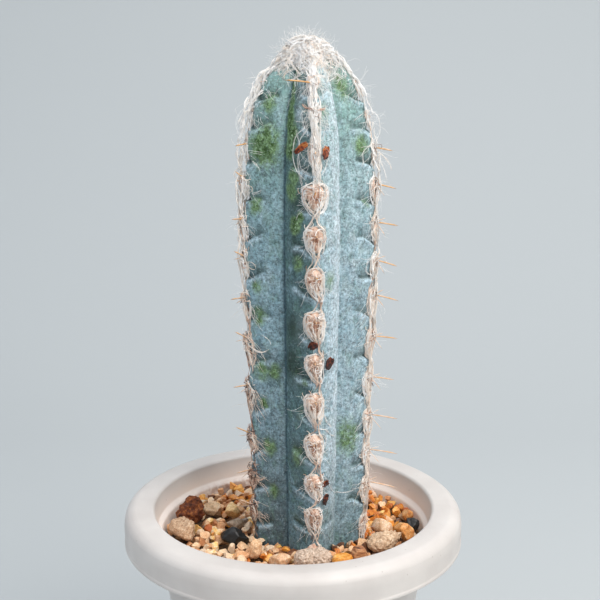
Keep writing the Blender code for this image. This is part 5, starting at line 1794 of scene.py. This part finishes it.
# Thickness along a spine, which makes up for the taper that every hair gets
SPINE_SHAPE = np.array((1, 1.25, 1.2, 1.15, 1.1, 1.5))
honey, tree, shader = new_material("honey_spine", Roughness=0.45)
tint_mark = add(tree, "ShaderNodeAttribute", attribute_name="tint")
place = add(tree, "ShaderNodeTexCoord").outputs["Object"]
bands = add(tree, "ShaderNodeTexNoise", {"Vector": place, "Scale": 1 / (2.5 * MM), "Detail": 2.0})
spread = add(tree, "ShaderNodeMapRange", {"Value": bands.outputs["Fac"], 1: 0.3, 2: 0.7, 3: -0.25, 4: 0.25})
shifted = add(tree, "ShaderNodeMath",
              {0: tint_mark.outputs["Fac"], 1: spread.outputs["Result"]}, operation="ADD")
ramp = add(tree, "ShaderNodeValToRGB", {"Fac": shifted.outputs[0]},
           [(0.0, "#B0743C"), (0.3, "#DDA768"), (0.6, "#E2BC9C"), (1.0, "#F0DCCB")])
tree.links.new(ramp.outputs["Color"], shader.inputs["Base Color"])
for rib, rib_name in enumerate(RIB_NAMES):
    rng = random.Random(SPINE_SEED + rib)
    crest = FRONT_RIB + rib * RIB_ANGLE
    spines = []
    for index in range(LAST_PAD + 1):
        height = AREOLES[rib, index]
        if height < POT_HEIGHT:
            continue
        share = (STEM_TOP - height) / (STEM_TOP - POT_HEIGHT)
        longest = (SPINE_LENGTHS[0] + (SPINE_LENGTHS[1] - SPINE_LENGTHS[0]) * share) * SPINE_SHARES[rib]
        rows = (CROSSWISE_SPINE,) if (rib, index) == CROSSWISE else SPINES[:max(0, index - 1)]
        for number, (sideways, upwards, part) in enumerate(rows):
            azimuth = crest + math.radians(sideways + rng.uniform(-9, 9))
            tilt = math.radians(upwards + SPINE_TILTS[rib][index % 2] + rng.uniform(-7, 7))
            root = on_column(np.array([crest]), np.array([height]), np.array([SPINE_ROOT]))[0]
            length = longest * part * rng.uniform(0.8, 1) + SPINE_HIDDEN
            run = np.linspace(0, 1, len(SPINE_SHAPE))[:, None] * length
            points = root + direction(azimuth, tilt) * run
            points[:, 2] -= run[:, 0] ** 2 * SPINE_SAG
            blunt = SPINE_RADII[min(number, 1)] * SPINE_SHAPE
            spines.append((points, blunt, 0.25 + 0.4 * share + 0.2 * min(number, 1)))
    piece = hairs_to_mesh(f"spines_{rib_name}", spines, honey)
    finish_piece(piece, "cream_wool")

# %% [markdown]
# ## Dry flakes
# Scraps of brown bark-like husk are caught in the wool of the front rib. Each is a grid primitive, drawn
# in at its ends, curled and laid over the rib, and given thickness with Solidify.
# %% Flakes
# Place beside the crest and height above the rim, length, width, turn in degrees, lift and curl, in mm,
# and how light it is
FLAKES = (
    (-5.2, 150.8, 5.8, 2.1, 40, 3.2, 0.7, 0.12), (4.0, 149.2, 4.6, 3.0, 78, 2.4, 0.5, 0.05),
    (-1.0, 76.6, 3.2, 3.0, 50, 3.4, 0.9, -0.08), (6.2, 67.8, 4.6, 4.0, 66, 2.0, 0.7, -0.12),
    (4.9, 17.6, 3.2, 2.6, 15, 1.4, 0.5, -0.08), (5.2, 10.8, 4.2, 2.8, 70, 1.4, 0.5, -0.1),
)
FLAKE_CELLS = (9, 7)
FLAKE_THICK = 0.3 * MM
FLAKE_SEED = 90
husk, tree, shader = new_material("dry_husk", Roughness=0.65)
tint_mark = add(tree, "ShaderNodeAttribute", attribute_name="tint")
place = add(tree, "ShaderNodeTexCoord").outputs["Object"]
mottle = add(tree, "ShaderNodeTexNoise", {"Vector": place, "Scale": 1 / (1.0 * MM), "Detail": 4.0})
shifted = add(tree, "ShaderNodeMath",
              {0: tint_mark.outputs["Fac"], 1: mottle.outputs["Fac"]}, operation="ADD")
ramp = add(tree, "ShaderNodeValToRGB", {"Fac": shifted.outputs[0]},
           [(0.35, "#240D07"), (0.5, "#5A2412"), (0.65, "#96481F"), (0.8, "#C27A3E")])
tree.links.new(ramp.outputs["Color"], shader.inputs["Base Color"])
rng = random.Random(FLAKE_SEED)
flakes = []
for number, (sideways, height, length, width, degrees, lift, curl, tint) in enumerate(FLAKES):
    deselect()
    bpy.ops.mesh.primitive_grid_add(x_subdivisions=FLAKE_CELLS[0], y_subdivisions=FLAKE_CELLS[1], size=1)
    flake = named(f"flake_{number}")
    edit(flake)
    bpy.ops.transform.vertex_random(offset=0.05, uniform=1.0, seed=number)
    leave_edit()
    sheet = positions(flake)
    lengthways = sheet[:, 0] * length * MM
    drawn_in = np.sqrt(1 - np.clip(3.3 * sheet[:, 0] ** 2, 0, 0.88))
    across = sheet[:, 1] * width * MM * (0.85 + 0.5 * sheet[:, 0]) * drawn_in
    cosine, sine = math.cos(math.radians(degrees)), math.sin(math.radians(degrees))
    aside = sideways * MM + lengthways * cosine - across * sine
    heights = POT_HEIGHT + height * MM + lengthways * sine + across * cosine
    bent = curl * MM * ((2 * sheet[:, 1]) ** 2 + sheet[:, 0] ** 2) + rng.uniform(-1, 1) * lengthways * 0.2
    around = FRONT_RIB + aside / crest_radius(heights)
    move_points(flake, on_column(around, heights, lift * MM + bent))
    plate = flake.modifiers.new("thickness", "SOLIDIFY")
    plate.thickness = FLAKE_THICK
    apply_modifiers(flake)
    # Each flake is painted lighter at its top and darker at its foot, as painted light from above and shade
    # below
    upwards = positions(flake)[:, 2]
    store(flake, "tint", tint + 0.26 * (upwards - upwards.mean()) / np.ptp(upwards))
    flakes.append(flake)
scraps = join("dry_flakes", flakes, husk)
smooth(scraps, 50)
finish_piece(scraps, "cream_wool")
